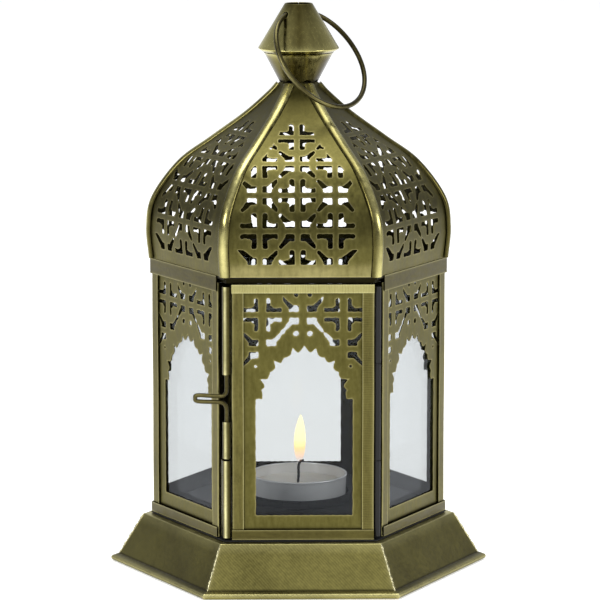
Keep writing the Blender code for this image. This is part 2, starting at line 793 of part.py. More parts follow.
# Finial: an upper cone with a turned-in lip over a lower cone, closed by a cap

CONE_LOW = NECK + GAP
LOWER_TOP = CONE_LOW + LOWER_CONE_HEIGHT
LIP_LOW = LOWER_TOP + GAP
RIM = LIP_LOW + LIP_HEIGHT
TOP = RIM + UPPER_CONE_HEIGHT
FINIAL_STEPS = 32
turned(
    "finial_lower_cone",
    [
        (LOWER_CONE_TOP, LOWER_TOP),
        (NECK_RADIUS, CONE_LOW),
        (NECK_RADIUS - CONE_WALL, CONE_LOW),
        (LOWER_CONE_TOP - CONE_WALL, LOWER_TOP),
    ],
    FINIAL_STEPS,
    BRASS,
)
upper_cone = turned(
    "finial_upper_cone",
    [
        (TOP_RADIUS, TOP),
        (RIM_RADIUS, RIM),
        (LOWER_CONE_TOP + LIP_OVERHANG, LIP_LOW),
        (LOWER_CONE_TOP - CONE_WALL, LIP_LOW),
        (RIM_RADIUS - 1.5 * CONE_WALL, RIM),
        (TOP_RADIUS - CONE_WALL, TOP),
    ],
    FINIAL_STEPS,
    BRASS,
)
CAP_TOP = TOP - CAP_RECESS
turned(
    "finial_cap",
    [
        (0, CAP_TOP),
        (TOP_RADIUS - CONE_WALL - GAP, CAP_TOP),
        (TOP_RADIUS - CONE_WALL - GAP, CAP_TOP - SHEET),
        (0, CAP_TOP - SHEET),
    ],
    FINIAL_STEPS,
    BRASS,
)

RING_HEIGHT = TOP - RING_DROP_BELOW_TOP
HOLE_RADIUS = TOP_RADIUS + RING_DROP_BELOW_TOP * (RIM_RADIUS - TOP_RADIUS) / UPPER_CONE_HEIGHT - CONE_WALL / 2
drill_mesh = bpy.data.meshes.new("ring_hole_drill")
drill_shape = bmesh.new()
bmesh.ops.create_cone(
    drill_shape,
    cap_ends=True,
    segments=16,
    radius1=RING_HOLE,
    radius2=RING_HOLE,
    depth=4 * HOLE_RADIUS,
)
drill_shape.to_mesh(drill_mesh)
drill_shape.free()
drill = bpy.data.objects.new("ring_hole_drill", drill_mesh)
CUTTERS.objects.link(drill)
drill.location = (0, 0, RING_HEIGHT)
drill.rotation_euler = (0, math.pi / 2, RING_AXIS_ANGLE)
drill.display_type = "WIRE"
drill.hide_render = True
holes = upper_cone.modifiers.new("Ring holes", "BOOLEAN")
holes.operation = "DIFFERENCE"
holes.object = drill


# Hanging ring: a closed wire circle through both holes, turning about the line between them

RING_AXIS = pivot("ring_axis", (0, 0, RING_HEIGHT))
RING_AXIS.rotation_euler = (0, 0, RING_AXIS_ANGLE)
ring_shape = bmesh.new()
section = bmesh.ops.create_circle(ring_shape, segments=8, radius=RING_WIRE)["verts"]
for vert in section:
    vert.co = (RING_RADIUS + vert.co.x, 0, vert.co.y)
bmesh.ops.spin(
    ring_shape,
    geom=ring_shape.verts[:] + ring_shape.edges[:],
    cent=(0, 0, 0),
    axis=(0, 0, 1),
    angle=2 * math.pi,
    steps=44,
    use_merge=True,
)
bmesh.ops.recalc_face_normals(ring_shape, faces=ring_shape.faces)
ring_mesh = bpy.data.meshes.new("hanging_ring")
ring_shape.to_mesh(ring_mesh)
ring_shape.free()
ring = place("hanging_ring", ring_mesh, BRASS)
ring.parent = RING_AXIS
hang = math.sqrt(RING_RADIUS**2 - HOLE_RADIUS**2)
ring.location = (0, hang * math.cos(RING_REST_ANGLE), -hang * math.sin(RING_REST_ANGLE))
ring.rotation_euler = (-RING_REST_ANGLE, 0, 0)


# Tealight in a low ring soldered to the floor

HOLDER_LOW = FLOOR_TOP + GAP
CUP_LOW = FLOOR_TOP + GAP
CUP_TOP = CUP_LOW + CUP_HEIGHT
WAX_TOP = CUP_TOP - WAX_BELOW_RIM
ROUND_STEPS = 40
holder_bore = CUP_RADIUS + HOLDER_GAP
turned(
    "candle_holder",
    [
        (holder_bore + HOLDER_WALL, HOLDER_LOW + HOLDER_HEIGHT),
        (holder_bore + HOLDER_WALL, HOLDER_LOW),
        (holder_bore, HOLDER_LOW),
        (holder_bore, HOLDER_LOW + HOLDER_HEIGHT),
    ],
    ROUND_STEPS,
    BLACKENED,
)
TEALIGHT_AXIS = pivot("tealight_axis", (0, 0, CUP_LOW))
turned(
    "tealight_cup",
    [
        (CUP_RADIUS, CUP_HEIGHT),
        (CUP_RADIUS, 0),
        (0, 0),
        (0, CUP_WALL),
        (CUP_RADIUS - CUP_WALL, CUP_WALL),
        (CUP_RADIUS - CUP_WALL, CUP_HEIGHT),
    ],
    ROUND_STEPS,
    ALUMINIUM,
    (0, 0, CUP_LOW),
    TEALIGHT_AXIS,
)
turned(
    "tealight_wax",
    [
        (0, WAX_TOP - CUP_LOW),
        (CUP_RADIUS - CUP_WALL - GAP, WAX_TOP - CUP_LOW),
        (CUP_RADIUS - CUP_WALL - GAP, CUP_WALL + GAP),
        (0, CUP_WALL + GAP),
    ],
    ROUND_STEPS,
    WAX,
    (0, 0, CUP_LOW),
    TEALIGHT_AXIS,
)
wick_low = WAX_TOP + GAP
wick_knots = [
    (-0.3 * MM, 0, wick_low),
    (0, 0, wick_low + 0.35 * WICK_HEIGHT),
    (0, 0, wick_low + 0.75 * WICK_HEIGHT),
    (0.7 * MM, 0, wick_low + 0.95 * WICK_HEIGHT),
    (2.1 * MM, 0, wick_low + WICK_HEIGHT),
]
wire("tealight_wick", smooth_path(wick_knots, 2), WICK_RADIUS, CHAR, 1, (0, 0, wick_low), TEALIGHT_AXIS)
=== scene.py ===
import math

import bmesh
import bpy
import numpy as np
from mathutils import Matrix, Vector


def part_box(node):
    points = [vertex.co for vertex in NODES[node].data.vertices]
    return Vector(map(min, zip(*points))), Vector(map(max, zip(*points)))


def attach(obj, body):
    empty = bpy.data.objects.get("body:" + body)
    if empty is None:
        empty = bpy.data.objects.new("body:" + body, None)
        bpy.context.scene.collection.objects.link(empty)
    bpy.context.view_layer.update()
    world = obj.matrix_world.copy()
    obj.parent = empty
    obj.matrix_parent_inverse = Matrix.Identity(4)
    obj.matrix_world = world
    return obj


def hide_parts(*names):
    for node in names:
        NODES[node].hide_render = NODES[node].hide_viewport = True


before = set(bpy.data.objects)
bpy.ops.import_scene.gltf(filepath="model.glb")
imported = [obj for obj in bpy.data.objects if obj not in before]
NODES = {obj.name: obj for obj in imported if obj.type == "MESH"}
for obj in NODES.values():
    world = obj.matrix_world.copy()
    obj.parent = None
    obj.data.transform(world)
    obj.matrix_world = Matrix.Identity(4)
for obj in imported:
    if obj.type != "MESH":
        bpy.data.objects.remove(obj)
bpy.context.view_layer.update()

MM = 0.001


# Studio: a pale sweep of paper under the lantern, one large soft light overhead and a soft box at each side.
# The camera is a long lens a little over a metre away, looking slightly down on the lantern.

CAMERA_BACK = 1302.7 * MM
CAMERA_LEFT = 19.4 * MM
CAMERA_UP = 320.1 * MM
CAMERA_DOWN = 0.165
CAMERA_TURN = -0.0153
LENS = 204.4
SENSOR = 36.0


def linear(code):
    """A colour, opaque, from its sRGB hex code: a share is divided by 12.92 or raised to the power 2.4."""
    shares = [int(code[i : i + 2], 16) / 255 for i in (1, 3, 5)]
    return (*(part / 12.92 if part <= 0.04045 else ((part + 0.055) / 1.055) ** 2.4 for part in shares), 1)


def feed(tree, node, inputs):
    """Fills inputs: a socket is linked, a node is linked by its first output in use, and a value is set."""
    for key, value in inputs.items():
        if isinstance(value, bpy.types.Node):
            value = next(socket for socket in value.outputs if socket.enabled)
        if isinstance(value, bpy.types.NodeSocket):
            tree.links.new(value, node.inputs[key])
        else:
            node.inputs[key].default_value = value
    return node


def add_node(tree, kind, inputs=None, **settings):
    """Adds a node with its settings, then feeds its inputs."""
    node = tree.nodes.new("ShaderNode" + kind)
    for key, value in settings.items():
        setattr(node, key, value)
    return feed(tree, node, inputs or {})


def new_material(name, inputs=None):
    """A material and its node tree, with these inputs fed to its Principled shader."""
    material = bpy.data.materials.new(name)
    material.use_nodes = True
    tree = material.node_tree
    feed(tree, tree.nodes["Principled BSDF"], inputs or {})
    return material, tree


def soft_box(name, place, size, watts):
    """A square area light that faces the middle of the lantern."""
    light = bpy.data.lights.new(name, "AREA")
    light.shape = "SQUARE"
    light.size = size
    light.energy = watts
    lamp = bpy.data.objects.new(name, light)
    bpy.context.scene.collection.objects.link(lamp)
    aim = np.array([0, 0, 0.1]) - np.array(place)
    across = math.hypot(aim[0], aim[1])
    lamp.location = place
    lamp.rotation_euler = (math.atan2(across, -aim[2]), 0, math.atan2(-aim[0], aim[1]))


camera = bpy.data.objects.new("camera", bpy.data.cameras.new("camera"))
bpy.context.scene.collection.objects.link(camera)
camera.location = (-CAMERA_LEFT, -CAMERA_BACK, CAMERA_UP)
camera.rotation_euler = (math.pi / 2 - CAMERA_DOWN, 0, CAMERA_TURN)
camera.data.lens = LENS
camera.data.sensor_width = SENSOR
camera.data.clip_start = 0.05
bpy.context.scene.camera = camera

soft_box("key_light", (-1.0, -1.1, 0.9), 0.6, 12)
soft_box("side_light", (1.3, -0.6, 0.6), 0.5, 7)
soft_box("top_light", (0.0, 0.1, 1.7), 1.0, 12)

world = bpy.data.worlds.new("studio")
bpy.context.scene.world = world
world.use_nodes = True
sky = world.node_tree
sky.nodes.clear()
way = add_node(sky, "SeparateXYZ", {"Vector": add_node(sky, "TexCoord").outputs["Generated"]})
sideways = add_node(sky, "Math", {0: way.outputs["X"]}, operation="ABSOLUTE")
flank = add_node(
    sky, "MapRange", {"Value": sideways, "From Min": 0.25, "From Max": 0.85}, interpolation_type="SMOOTHSTEP"
)
tones = {"Factor": flank, "A": linear("#E6E8EC"), "B": linear("#A9AAAC")}
air = add_node(sky, "Mix", tones, data_type="RGBA")
shine = add_node(sky, "Background", {"Color": air, "Strength": 0.9})
add_node(sky, "OutputWorld", {"Surface": shine})
bpy.context.scene.view_settings.view_transform = "Standard"

# Matt white paper: it takes soft shadows, and its own faint light keeps it clean white to the edges.
paper, _ = new_material("matt_white_paper", {
    "Base Color": linear("#F6F6F5"), "Roughness": 0.8,
    "Emission Color": linear("#FFFFFF"), "Emission Strength": 0.42,
})
PAPER_EDGES = [(-8, -6, -0.0002), (8, -6, -0.0002), (8, 10, -0.0002), (-8, 10, -0.0002)]
floor_mesh = bpy.data.meshes.new("floor")
floor_mesh.from_pydata(PAPER_EDGES, [], [(0, 1, 2, 3)])
floor_mesh.materials.append(paper)
floor = bpy.data.objects.new("floor", floor_mesh)
bpy.context.scene.collection.objects.link(floor)


# Base: six skirt plates cut from brass sheet, each with its foot rolled round a wire and its top turned in.
# They are mitred and soft-soldered at the corners, and the hand-filed seams stay brighter than the plates.

WALLS = 6
TURN = 2 * math.pi / WALLS
TAN30 = math.tan(TURN / 2)
COS30 = math.cos(TURN / 2)


def new_piece(name, points, groups, material, body, slot, stands_for=(), wear=None, crease=35, soot=None):
    """A mesh from points in metres and arrays of faces, one face to a row. Its faces are turned outwards by
    the sign of its volume, the sum over its triangles of a . (b x c) / 6."""
    volume = 0.0
    for group in groups:
        first = points[group[:, 0]]
        for k in range(1, group.shape[1] - 1):
            volume += np.sum(first * np.cross(points[group[:, k]], points[group[:, k + 1]]))
    if volume < 0:
        groups = [group[:, ::-1] for group in groups]
    sizes = np.concatenate([np.full(len(group), group.shape[1]) for group in groups])
    corners = np.concatenate([group.ravel() for group in groups]).astype(np.int32)
    mesh = bpy.data.meshes.new(name)
    mesh.vertices.add(len(points))
    mesh.vertices.foreach_set("co", points.astype(np.float32).ravel())
    mesh.loops.add(len(corners))
    mesh.loops.foreach_set("vertex_index", corners)
    mesh.polygons.add(len(sizes))
    mesh.polygons.foreach_set("loop_start", np.concatenate([[0], np.cumsum(sizes)[:-1]]).astype(np.int32))
    mesh.update(calc_edges=True)
    for mark, values in (("wear", wear), ("soot", soot)):
        if values is not None:
            mesh.attributes.new(mark, "FLOAT", "POINT").data.foreach_set("value", values.astype(np.float32))
    mesh.shade_smooth()
    mesh.set_sharp_from_angle(angle=math.radians(crease))
    mesh.materials.append(material)
    piece = bpy.data.objects.new(name, mesh)
    bpy.context.scene.collection.objects.link(piece)
    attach(piece, body)
    if stands_for:
        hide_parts(*stands_for)
    return piece


def skinned(points, closed=False):
    """The faces of a tube with points (steps, sides, 3): a quad between neighbours, and a flat cap at each
    end unless the last row joins the first."""
    steps, sides = points.shape[:2]
    index = np.arange(steps * sides).reshape(steps, sides)
    if closed:
        index = np.vstack([index, index[:1]])
    ahead = np.roll(index, -1, axis=1)
    walls = np.stack([index[:-1], ahead[:-1], ahead[1:], index[1:]], axis=-1).reshape(-1, 4)
    caps = [] if closed else [index[:1, ::-1], index[-1:]]
    return points.reshape(-1, 3), [walls, *caps]


def carried(section, stations, across, up, closed=False):
    """A closed section (k, 2) carried along a path: point = station + x * across + y * up. Each step has a
    station, and an across and an up of its own or one for all."""
    across, up = [np.broadcast_to(way, stations.shape)[:, None] for way in (across, up)]
    return skinned(stations[:, None] + section[None, :, :1] * across + section[None, :, 1:] * up, closed)


def rounded(corners, radius, steps=4, closed=True):
    """An outline with rounded corners: each becomes a quadratic curve between two points a radius off."""
    corners = np.asarray(corners, float)
    before, after = np.roll(corners, 1, axis=0), np.roll(corners, -1, axis=0)
    out = []
    for i, (a, b, c) in enumerate(zip(before, corners, after)):
        if not closed and i in (0, len(corners) - 1):
            out.append(b[None])
            continue
        reach = min(radius, 0.45 * np.linalg.norm(a - b), 0.45 * np.linalg.norm(c - b))
        start = b + reach * (a - b) / np.linalg.norm(a - b)
        stop = b + reach * (c - b) / np.linalg.norm(c - b)
        t = np.linspace(0, 1, steps + 1)[:, None]
        out.append((1 - t) ** 2 * start + 2 * t * (1 - t) * b + t**2 * stop)
    return np.concatenate(out)


def turn_about_z(points, angle):
    """Points turned about the lantern's axis."""
    c, s = math.cos(angle), math.sin(angle)
    return points @ np.array([[c, s, 0], [-s, c, 0], [0, 0, 1]])


BLOTCH = 26.316 * MM
SPECK = 1.25 * MM
STREAK = 16.667 * MM
# Near black: the colour of painted shade.
SOOT_COLOUR = "#1B180C"


def aged_brass(
    name, dark, mid, bright, roughness=0.36, grain=(60, 60, 60), depth=0.03, spread=0.5, mottle=0.35,
    drawn=0.4, hatch=None,
):
    """Sheet brass with an olive antique patina, bright as bare metal where its attribute for worn places and
    painted highlights is high, and near black where its attribute for painted shade is. The patina runs from
    dark to mid with a broad, a fine and a drawn-out noise, and from there to bright with the first
    attribute.
    A hatch is (angle, spacing in mm, strength): file strokes across the front, drawn by a wave, and coarser
    than real ones so that they show."""
    material, tree = new_material(name, {"Metallic": 1.0})
    place = add_node(tree, "TexCoord").outputs["Object"]
    patches = {"Vector": place, "Scale": 1 / BLOTCH, "Detail": 3.0, "Roughness": 0.55}
    broad = add_node(tree, "TexNoise", patches)
    fine = add_node(tree, "TexNoise", {"Vector": place, "Scale": 1 / SPECK, "Detail": 4.0, "Roughness": 0.6})
    stretched = add_node(tree, "Mapping", {"Vector": place, "Scale": grain})
    brushed = add_node(tree, "TexNoise", {"Vector": stretched, "Scale": 1 / STREAK, "Detail": 3.0})
    half = spread / 2
    blotch = add_node(tree, "MapRange", {"Value": broad, "From Min": 0.5 - half, "From Max": 0.5 + half})
    speck = add_node(tree, "MapRange", {"Value": fine, "From Min": 0.3, "From Max": 0.7})
    streak = add_node(tree, "MapRange", {"Value": brushed, "From Min": 0.32, "From Max": 0.68})
    patina = add_node(tree, "Mix", {"Factor": mottle, "A": blotch, "B": speck})
    patina = add_node(tree, "Mix", {"Factor": drawn, "A": patina, "B": streak})
    height = brushed
    if hatch:
        slope, spacing, strength = hatch
        aslant = add_node(tree, "Mapping", {"Vector": place, "Rotation": (0, math.radians(slope), 0)})
        rows = {"Vector": aslant, "Scale": math.pi / 10 / (spacing * MM)}
        ragged = {"Distortion": 2.5, "Detail": 2.0, "Detail Scale": 0.6}
        strokes = add_node(tree, "TexWave", {**rows, **ragged}).outputs["Fac"]
        height = add_node(tree, "Mix", {"Factor": strength, "A": height, "B": strokes})
        patina = add_node(tree, "Mix", {"Factor": strength, "A": patina, "B": strokes})
    aged = add_node(tree, "Mix", {"Factor": patina, "A": linear(dark), "B": linear(mid)}, data_type="RGBA")
    # Worn places and painted highlights mix towards the bright colour; painted shade mixes towards near
    # black.
    wear = add_node(tree, "Attribute", attribute_name="wear").outputs["Fac"]
    soot = add_node(tree, "Attribute", attribute_name="soot").outputs["Fac"]
    uneven = add_node(tree, "MapRange", {"Value": patina, "To Min": 0.45, "To Max": 1.15})
    rubbed = add_node(tree, "Math", {0: wear, 1: uneven}, operation="MULTIPLY", use_clamp=True)
    worn = add_node(tree, "Mix", {"Factor": rubbed, "A": aged, "B": linear(bright)}, data_type="RGBA")
    colour = add_node(tree, "Mix", {"Factor": soot, "A": worn, "B": linear(SOOT_COLOUR)}, data_type="RGBA")
    dull = {"Value": streak, "To Min": roughness - 0.06, "To Max": roughness + 0.1}
    rough = add_node(tree, "MapRange", dull)
    scratches = add_node(tree, "Bump", {"Height": height, "Strength": 0.35, "Distance": depth * MM})
    knocks = {"Height": broad, "Strength": 0.5, "Distance": 0.5 * MM, "Normal": scratches}
    dents = add_node(tree, "Bump", knocks)
    feed(tree, tree.nodes["Principled BSDF"], {"Base Color": colour, "Roughness": rough, "Normal": dents})
    return material


# Antique brass plate: even olive with soft patches. The filed front plate has slanting strokes, and its
# lighter olive is painted light: a brighter copy of the plate brass for the plate that faces the light.
plate = dict(roughness=0.36, grain=(12, 12, 12), mottle=0.12, drawn=0.08)
PLATE_BRASS = aged_brass("antique_brass_plate", "#504A28", "#837C43", "#E4DB9C", **plate)
slanting = (45, 0.85, 0.22)
FILED_BRASS = aged_brass("front_lit_filed_brass_plate", "#5A542D", "#989052", "#E4DB9C", **plate, hatch=slanting)
# Soft solder, filed down: the palest line on the lantern, grey-gold and uneven.
SOLDER = aged_brass("filed_soft_solder", "#8E8760", "#DCD6AE", "#F4F0D4", 0.3, (10, 10, 10))

BASE_LOW, BASE_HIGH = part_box("base_panel_1")
BASE_HEIGHT = BASE_HIGH[2]
BASE_TOP = -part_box("floor_pan")[0][1] + 2.5 * MM
BEAD = 1.1 * MM
BASE_FOOT = -BASE_LOW[1] - BEAD
BASE_SHEET = 0.7 * MM
BASE_LEDGE = 6.4 * MM
BASE_LIP = 1.5 * MM


def base_outline():
    """The plate's section as (distance out, height): ledge, sloping skirt and a round bead at the foot."""
    angle = np.linspace(math.radians(120), math.radians(445), 26)
    bead = np.stack([BASE_FOOT + BEAD * np.cos(angle), BEAD + BEAD * np.sin(angle)], axis=1)
    ledge = [
        (BASE_TOP - BASE_LEDGE, BASE_HEIGHT),
        (BASE_TOP - BASE_LEDGE, BASE_HEIGHT - BASE_SHEET),
        (BASE_TOP - BASE_SHEET, BASE_HEIGHT - BASE_SHEET),
        (BASE_FOOT - BASE_LIP - BASE_SHEET, 1.55 * BEAD),
    ]
    slope = np.concatenate([[0.03, 0.07], np.linspace(0, 1, 10)[1:-1]])[:, None]
    foot, top = bead[-1] + [-BASE_LIP, 0.15 * MM], np.array([BASE_TOP, BASE_HEIGHT])
    skirt = foot + slope * (top - foot)
    shoulder = rounded([skirt[-1], top, ledge[0]], 0.5 * MM, 4, closed=False)[1:-1]
    return np.concatenate([ledge, bead, skirt[:-1], shoulder])


def base_plate(wall):
    """The section drawn out along the wall: x = share * out * tan 30 degrees, so that both ends are mitres.
    Hammering leaves the skirt nearly a tenth of a millimetre out of flat."""
    section = base_outline()
    share = np.linspace(-1, 1, 61)[:, None]
    out, rise = section[None, :, 0], section[None, :, 1]
    height = np.clip((rise - 2.5 * BEAD) / (0.93 * BASE_HEIGHT - 2.5 * BEAD), 0, 1)
    sway = 0.07 * MM * np.sin(5.1 * share + wall * 2.3)
    sway = sway + 0.02 * MM * np.sin(13.7 * share + 5 * height + wall)
    out = out + sway * np.sin(math.pi * height) * (1 - share**6) * (out > BASE_TOP - 2 * BASE_SHEET)
    points, groups = skinned(np.stack(np.broadcast_arrays(share * out * TAN30, -out, rise), axis=-1))
    level = section[:, 1]
    # The top edge and the foot's bead are worn bright and carry a painted highlight; the mitred ends are
    # worn bright.
    near_edge = np.exp(-np.abs(level - BASE_HEIGHT) / (0.5 * MM)) * 0.5
    near_edge = near_edge + 0.6 * np.exp(-(((level - 1.5 * BEAD) / (0.5 * MM)) ** 2))
    rub = near_edge[None, :] + 0.35 * np.exp(-(1 - np.abs(share)) * 60)
    # Painted shade: a dark line in the crook just above the foot's bead, and shade that fades upwards from
    # it.
    over_bead = level - 2 * BEAD
    at_foot = section[:, 0] > BASE_FOOT - 3 * BEAD
    crevice = 0.95 * np.exp(-(((level - 2.4 * BEAD) / (0.42 * MM)) ** 2)) * at_foot
    crevice = crevice + 0.35 * np.clip(over_bead / BASE_HEIGHT, 0, 1) * np.exp(-over_bead / (4 * MM))
    metal = FILED_BRASS if wall == 0 else PLATE_BRASS
    new_piece(f"base_plate_{wall + 1}", turn_about_z(points, wall * TURN), groups, metal, "lantern",
              "antique_brass", [f"base_panel_{wall + 1}"], np.clip(rub, 0, 1).ravel(), 28,
              np.tile(np.clip(crevice, 0, 1), len(share)))


def bead_of_solder(start, stop, radius, seed, sides=8, pitch=0.5 * MM):
    """A run of solder: a tube from start to stop whose radius wanders by two sines of the way along."""
    start, stop = np.asarray(start, float), np.asarray(stop, float)
    length = np.linalg.norm(stop - start)
    way = np.linspace(0, 1, max(3, int(length / pitch)))[:, None]
    along = (stop - start) / length
    across = np.cross(along, [0, 0, 1.0])
    across /= np.linalg.norm(across)
    up = np.cross(across, along)
    angle = np.linspace(0, 2 * math.pi, sides, endpoint=False)
    size = radius * (1 + 0.3 * np.sin(29 * way + seed) + 0.25 * np.sin(71 * way + 2 * seed))
    size = size * np.clip(np.minimum(way, 1 - way) * 12 + 0.25, 0, 1)
    ring = np.stack([np.cos(angle), np.sin(angle)], axis=1)
    middle = start + way * (stop - start)
    return skinned(middle[:, None] + size[:, None] * (ring[None, :, :1] * across + ring[None, :, 1:] * up))


for wall in range(WALLS):
    base_plate(wall)
    skirt_foot = BASE_FOOT - BASE_LIP
    corner_foot = turn_about_z(np.array([skirt_foot * TAN30, -skirt_foot, 2.1 * BEAD]), wall * TURN)
    corner_top = turn_about_z(np.array([BASE_TOP * TAN30, -BASE_TOP, BASE_HEIGHT]) * 0.9995, wall * TURN)
    seam = bead_of_solder(corner_foot, corner_top, 0.36 * MM, wall * 1.7)
    new_piece(f"base_solder_seam_{wall + 1}", *seam, SOLDER, "lantern", "worn_brass", crease=60)


# Pierced walls: thin sheet sawn by hand with a cusped arch and a band of fretwork, one behind the door's
# frame and one in each side wall. The sawn edges are left bright and a little uneven.

SHEET = 0.4 * MM
PITCH = 0.42
DOOR_SHEET_LOW, DOOR_SHEET_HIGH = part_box("door_sheet")
DOOR_MIDDLE = (DOOR_SHEET_LOW[0] + DOOR_SHEET_HIGH[0]) / 2
SHEET_FACE = -DOOR_SHEET_LOW[1]
BODY_LOW, BODY_TOP = DOOR_SHEET_LOW[2], DOOR_SHEET_HIGH[2]


def stroke(x, y, start, end, radius, end_radius):
    """A saw stroke: the radius at the nearest point of its middle line, less the distance to that point."""
    run, rise = end[0] - start[0], end[1] - start[1]
    share = np.clip(((x - start[0]) * run + (y - start[1]) * rise) / (run**2 + rise**2), 0, 1)
    away = np.hypot(x - start[0] - share * run, y - start[1] - share * rise)
    return radius + share * (end_radius - radius) - away


def spot(x, y, middle, radius):
    """A drilled hole: its radius less the distance from its middle."""
    return radius - np.hypot(x - middle[0], y - middle[1])


def block(x, y, low, high, corner=0.35):
    """A rectangle with rounded corners: the corner's radius less the distance from the smaller rectangle."""
    across = np.maximum(low[0] + corner - x, x - high[0] + corner)
    along = np.maximum(low[1] + corner - y, y - high[1] + corner)
    outside = np.hypot(np.maximum(across, 0), np.maximum(along, 0))
    return corner - outside - np.minimum(np.maximum(across, along), 0)


def knee_hole(a, b, corner, reach, arm, knob, lobe):
    """An L that hugs the crossing of two bars from `corner` out to `reach`, with a knob at the end of either
    arm, round a lobe of metal (its place and radius) left in the L's inner corner."""
    bend = (corner[0] + arm, corner[1] + arm)
    level = stroke(a, b, bend, (reach[0] - knob, corner[1] + knob), arm, knob)
    rising = stroke(a, b, bend, (corner[0] + knob, reach[1] - knob), arm, knob)
    whole = np.maximum(np.maximum(level, rising), block(a, b, corner, (corner[0] + 2.5, corner[1] + 2.3)))
    return np.minimum(whole, np.hypot(a - lobe[0], b - lobe[1]) - lobe[2])


def leg_hole(a, b, corner, foot, reach, thick, thin):
    """A wide foot in the corner of two bars and a leg that runs out of it towards the middle of the cell."""
    sole = block(a, b, corner, foot, 0.5)
    return np.maximum(sole, stroke(a, b, (foot[0] - thick, foot[1] - thick), reach, thick, thin))


def saw_wander(x, y, amount=0.07):
    """The saw's wobble: a sum of two waves of the place on the sheet."""
    return amount * (np.sin(2.3 * x + 1.1 * y) + 0.7 * np.sin(4.9 * y - 3.1 * x + 1.0))


def arch_hole(x, y):
    """The arch: a straight-sided foot, then r = 15.7 + 2.3 sin^7 of the angle, with cusps cut out of it."""
    foot = block(x, y, (-18.25, 28.9), (18.25, 73.6), 0.5)
    angle = np.arctan2(y - 73.6, np.abs(x))
    edge = 15.7 + 2.3 * np.sin(np.clip(angle, 0, None)) ** 7
    degrees = np.degrees(angle)
    for cusp, proud, half in ((90, 2.3, 6.6), (77.3, 2.3, 5.4), (52, 2.5, 5.4), (24.3, 2.6, 5.6),
                              (64.5, 0.7, 5), (38.5, 0.7, 5), (12, 0.7, 5)):
        edge = edge + proud * np.clip(1 - np.abs(degrees - cusp) / half, 0, 1) ** 1.6
    dome = np.where(y > 73.1, edge - np.hypot(x, y - 73.6), -3.0)
    return np.maximum(foot, dome)


def wall_metal(x, y):
    """How far (x, y), in millimetres from the wall's middle, is inside the metal from its nearest edge."""
    wide, tall, head, foot = 15.2, 12.95, 105.6, 92.65
    holes = arch_hole(x - 0.5, y)
    column, row = np.clip(np.round(x / wide), -2, 2), np.where(y > (head + foot) / 2, 0, 1)
    a = np.abs(x - column * wide)
    up = y - np.where(row == 0, head, foot)
    b = np.abs(up)
    outer = np.abs(x) > np.abs(column) * wide
    knee = (np.abs(column) + row) % 2 == 1
    legs = leg_hole(a, b, (1.5, 1.1), (5.2, 3.6), (wide / 2, tall / 2), 0.95, 0.5)
    knees = knee_hole(a, b, (1.5, 1.1), (7.6, 6.3), 0.68, 0.78, (4.9, 4.5, 1.9))
    pattern = np.where(knee, knees, legs)
    kept = (row == 0) | ((np.abs(column) == 1) & (outer | (up > 0)))
    fret = np.where(kept & (np.abs(column) < 2), pattern, -3.0)
    fret = np.minimum(fret, np.where((row == 1) & (up < 0) & ~outer, -3.0, 3.0))
    for side in (-1, 1):
        fret = np.maximum(fret, spot(x, y, (side * 2.62, 98.5), 1.02))
        fret = np.maximum(fret, spot(x, y, (side * 2.5, 113.2), 0.85))
        fret = np.maximum(fret, spot(x, y, (side * 17.8, 86.0), 0.55))
        fret = np.maximum(fret, spot(x, y, (side * wide / 2, (head + foot) / 2), 0.5 - 0.35 * side))
    return -np.maximum(holes, fret) + saw_wander(x, y)


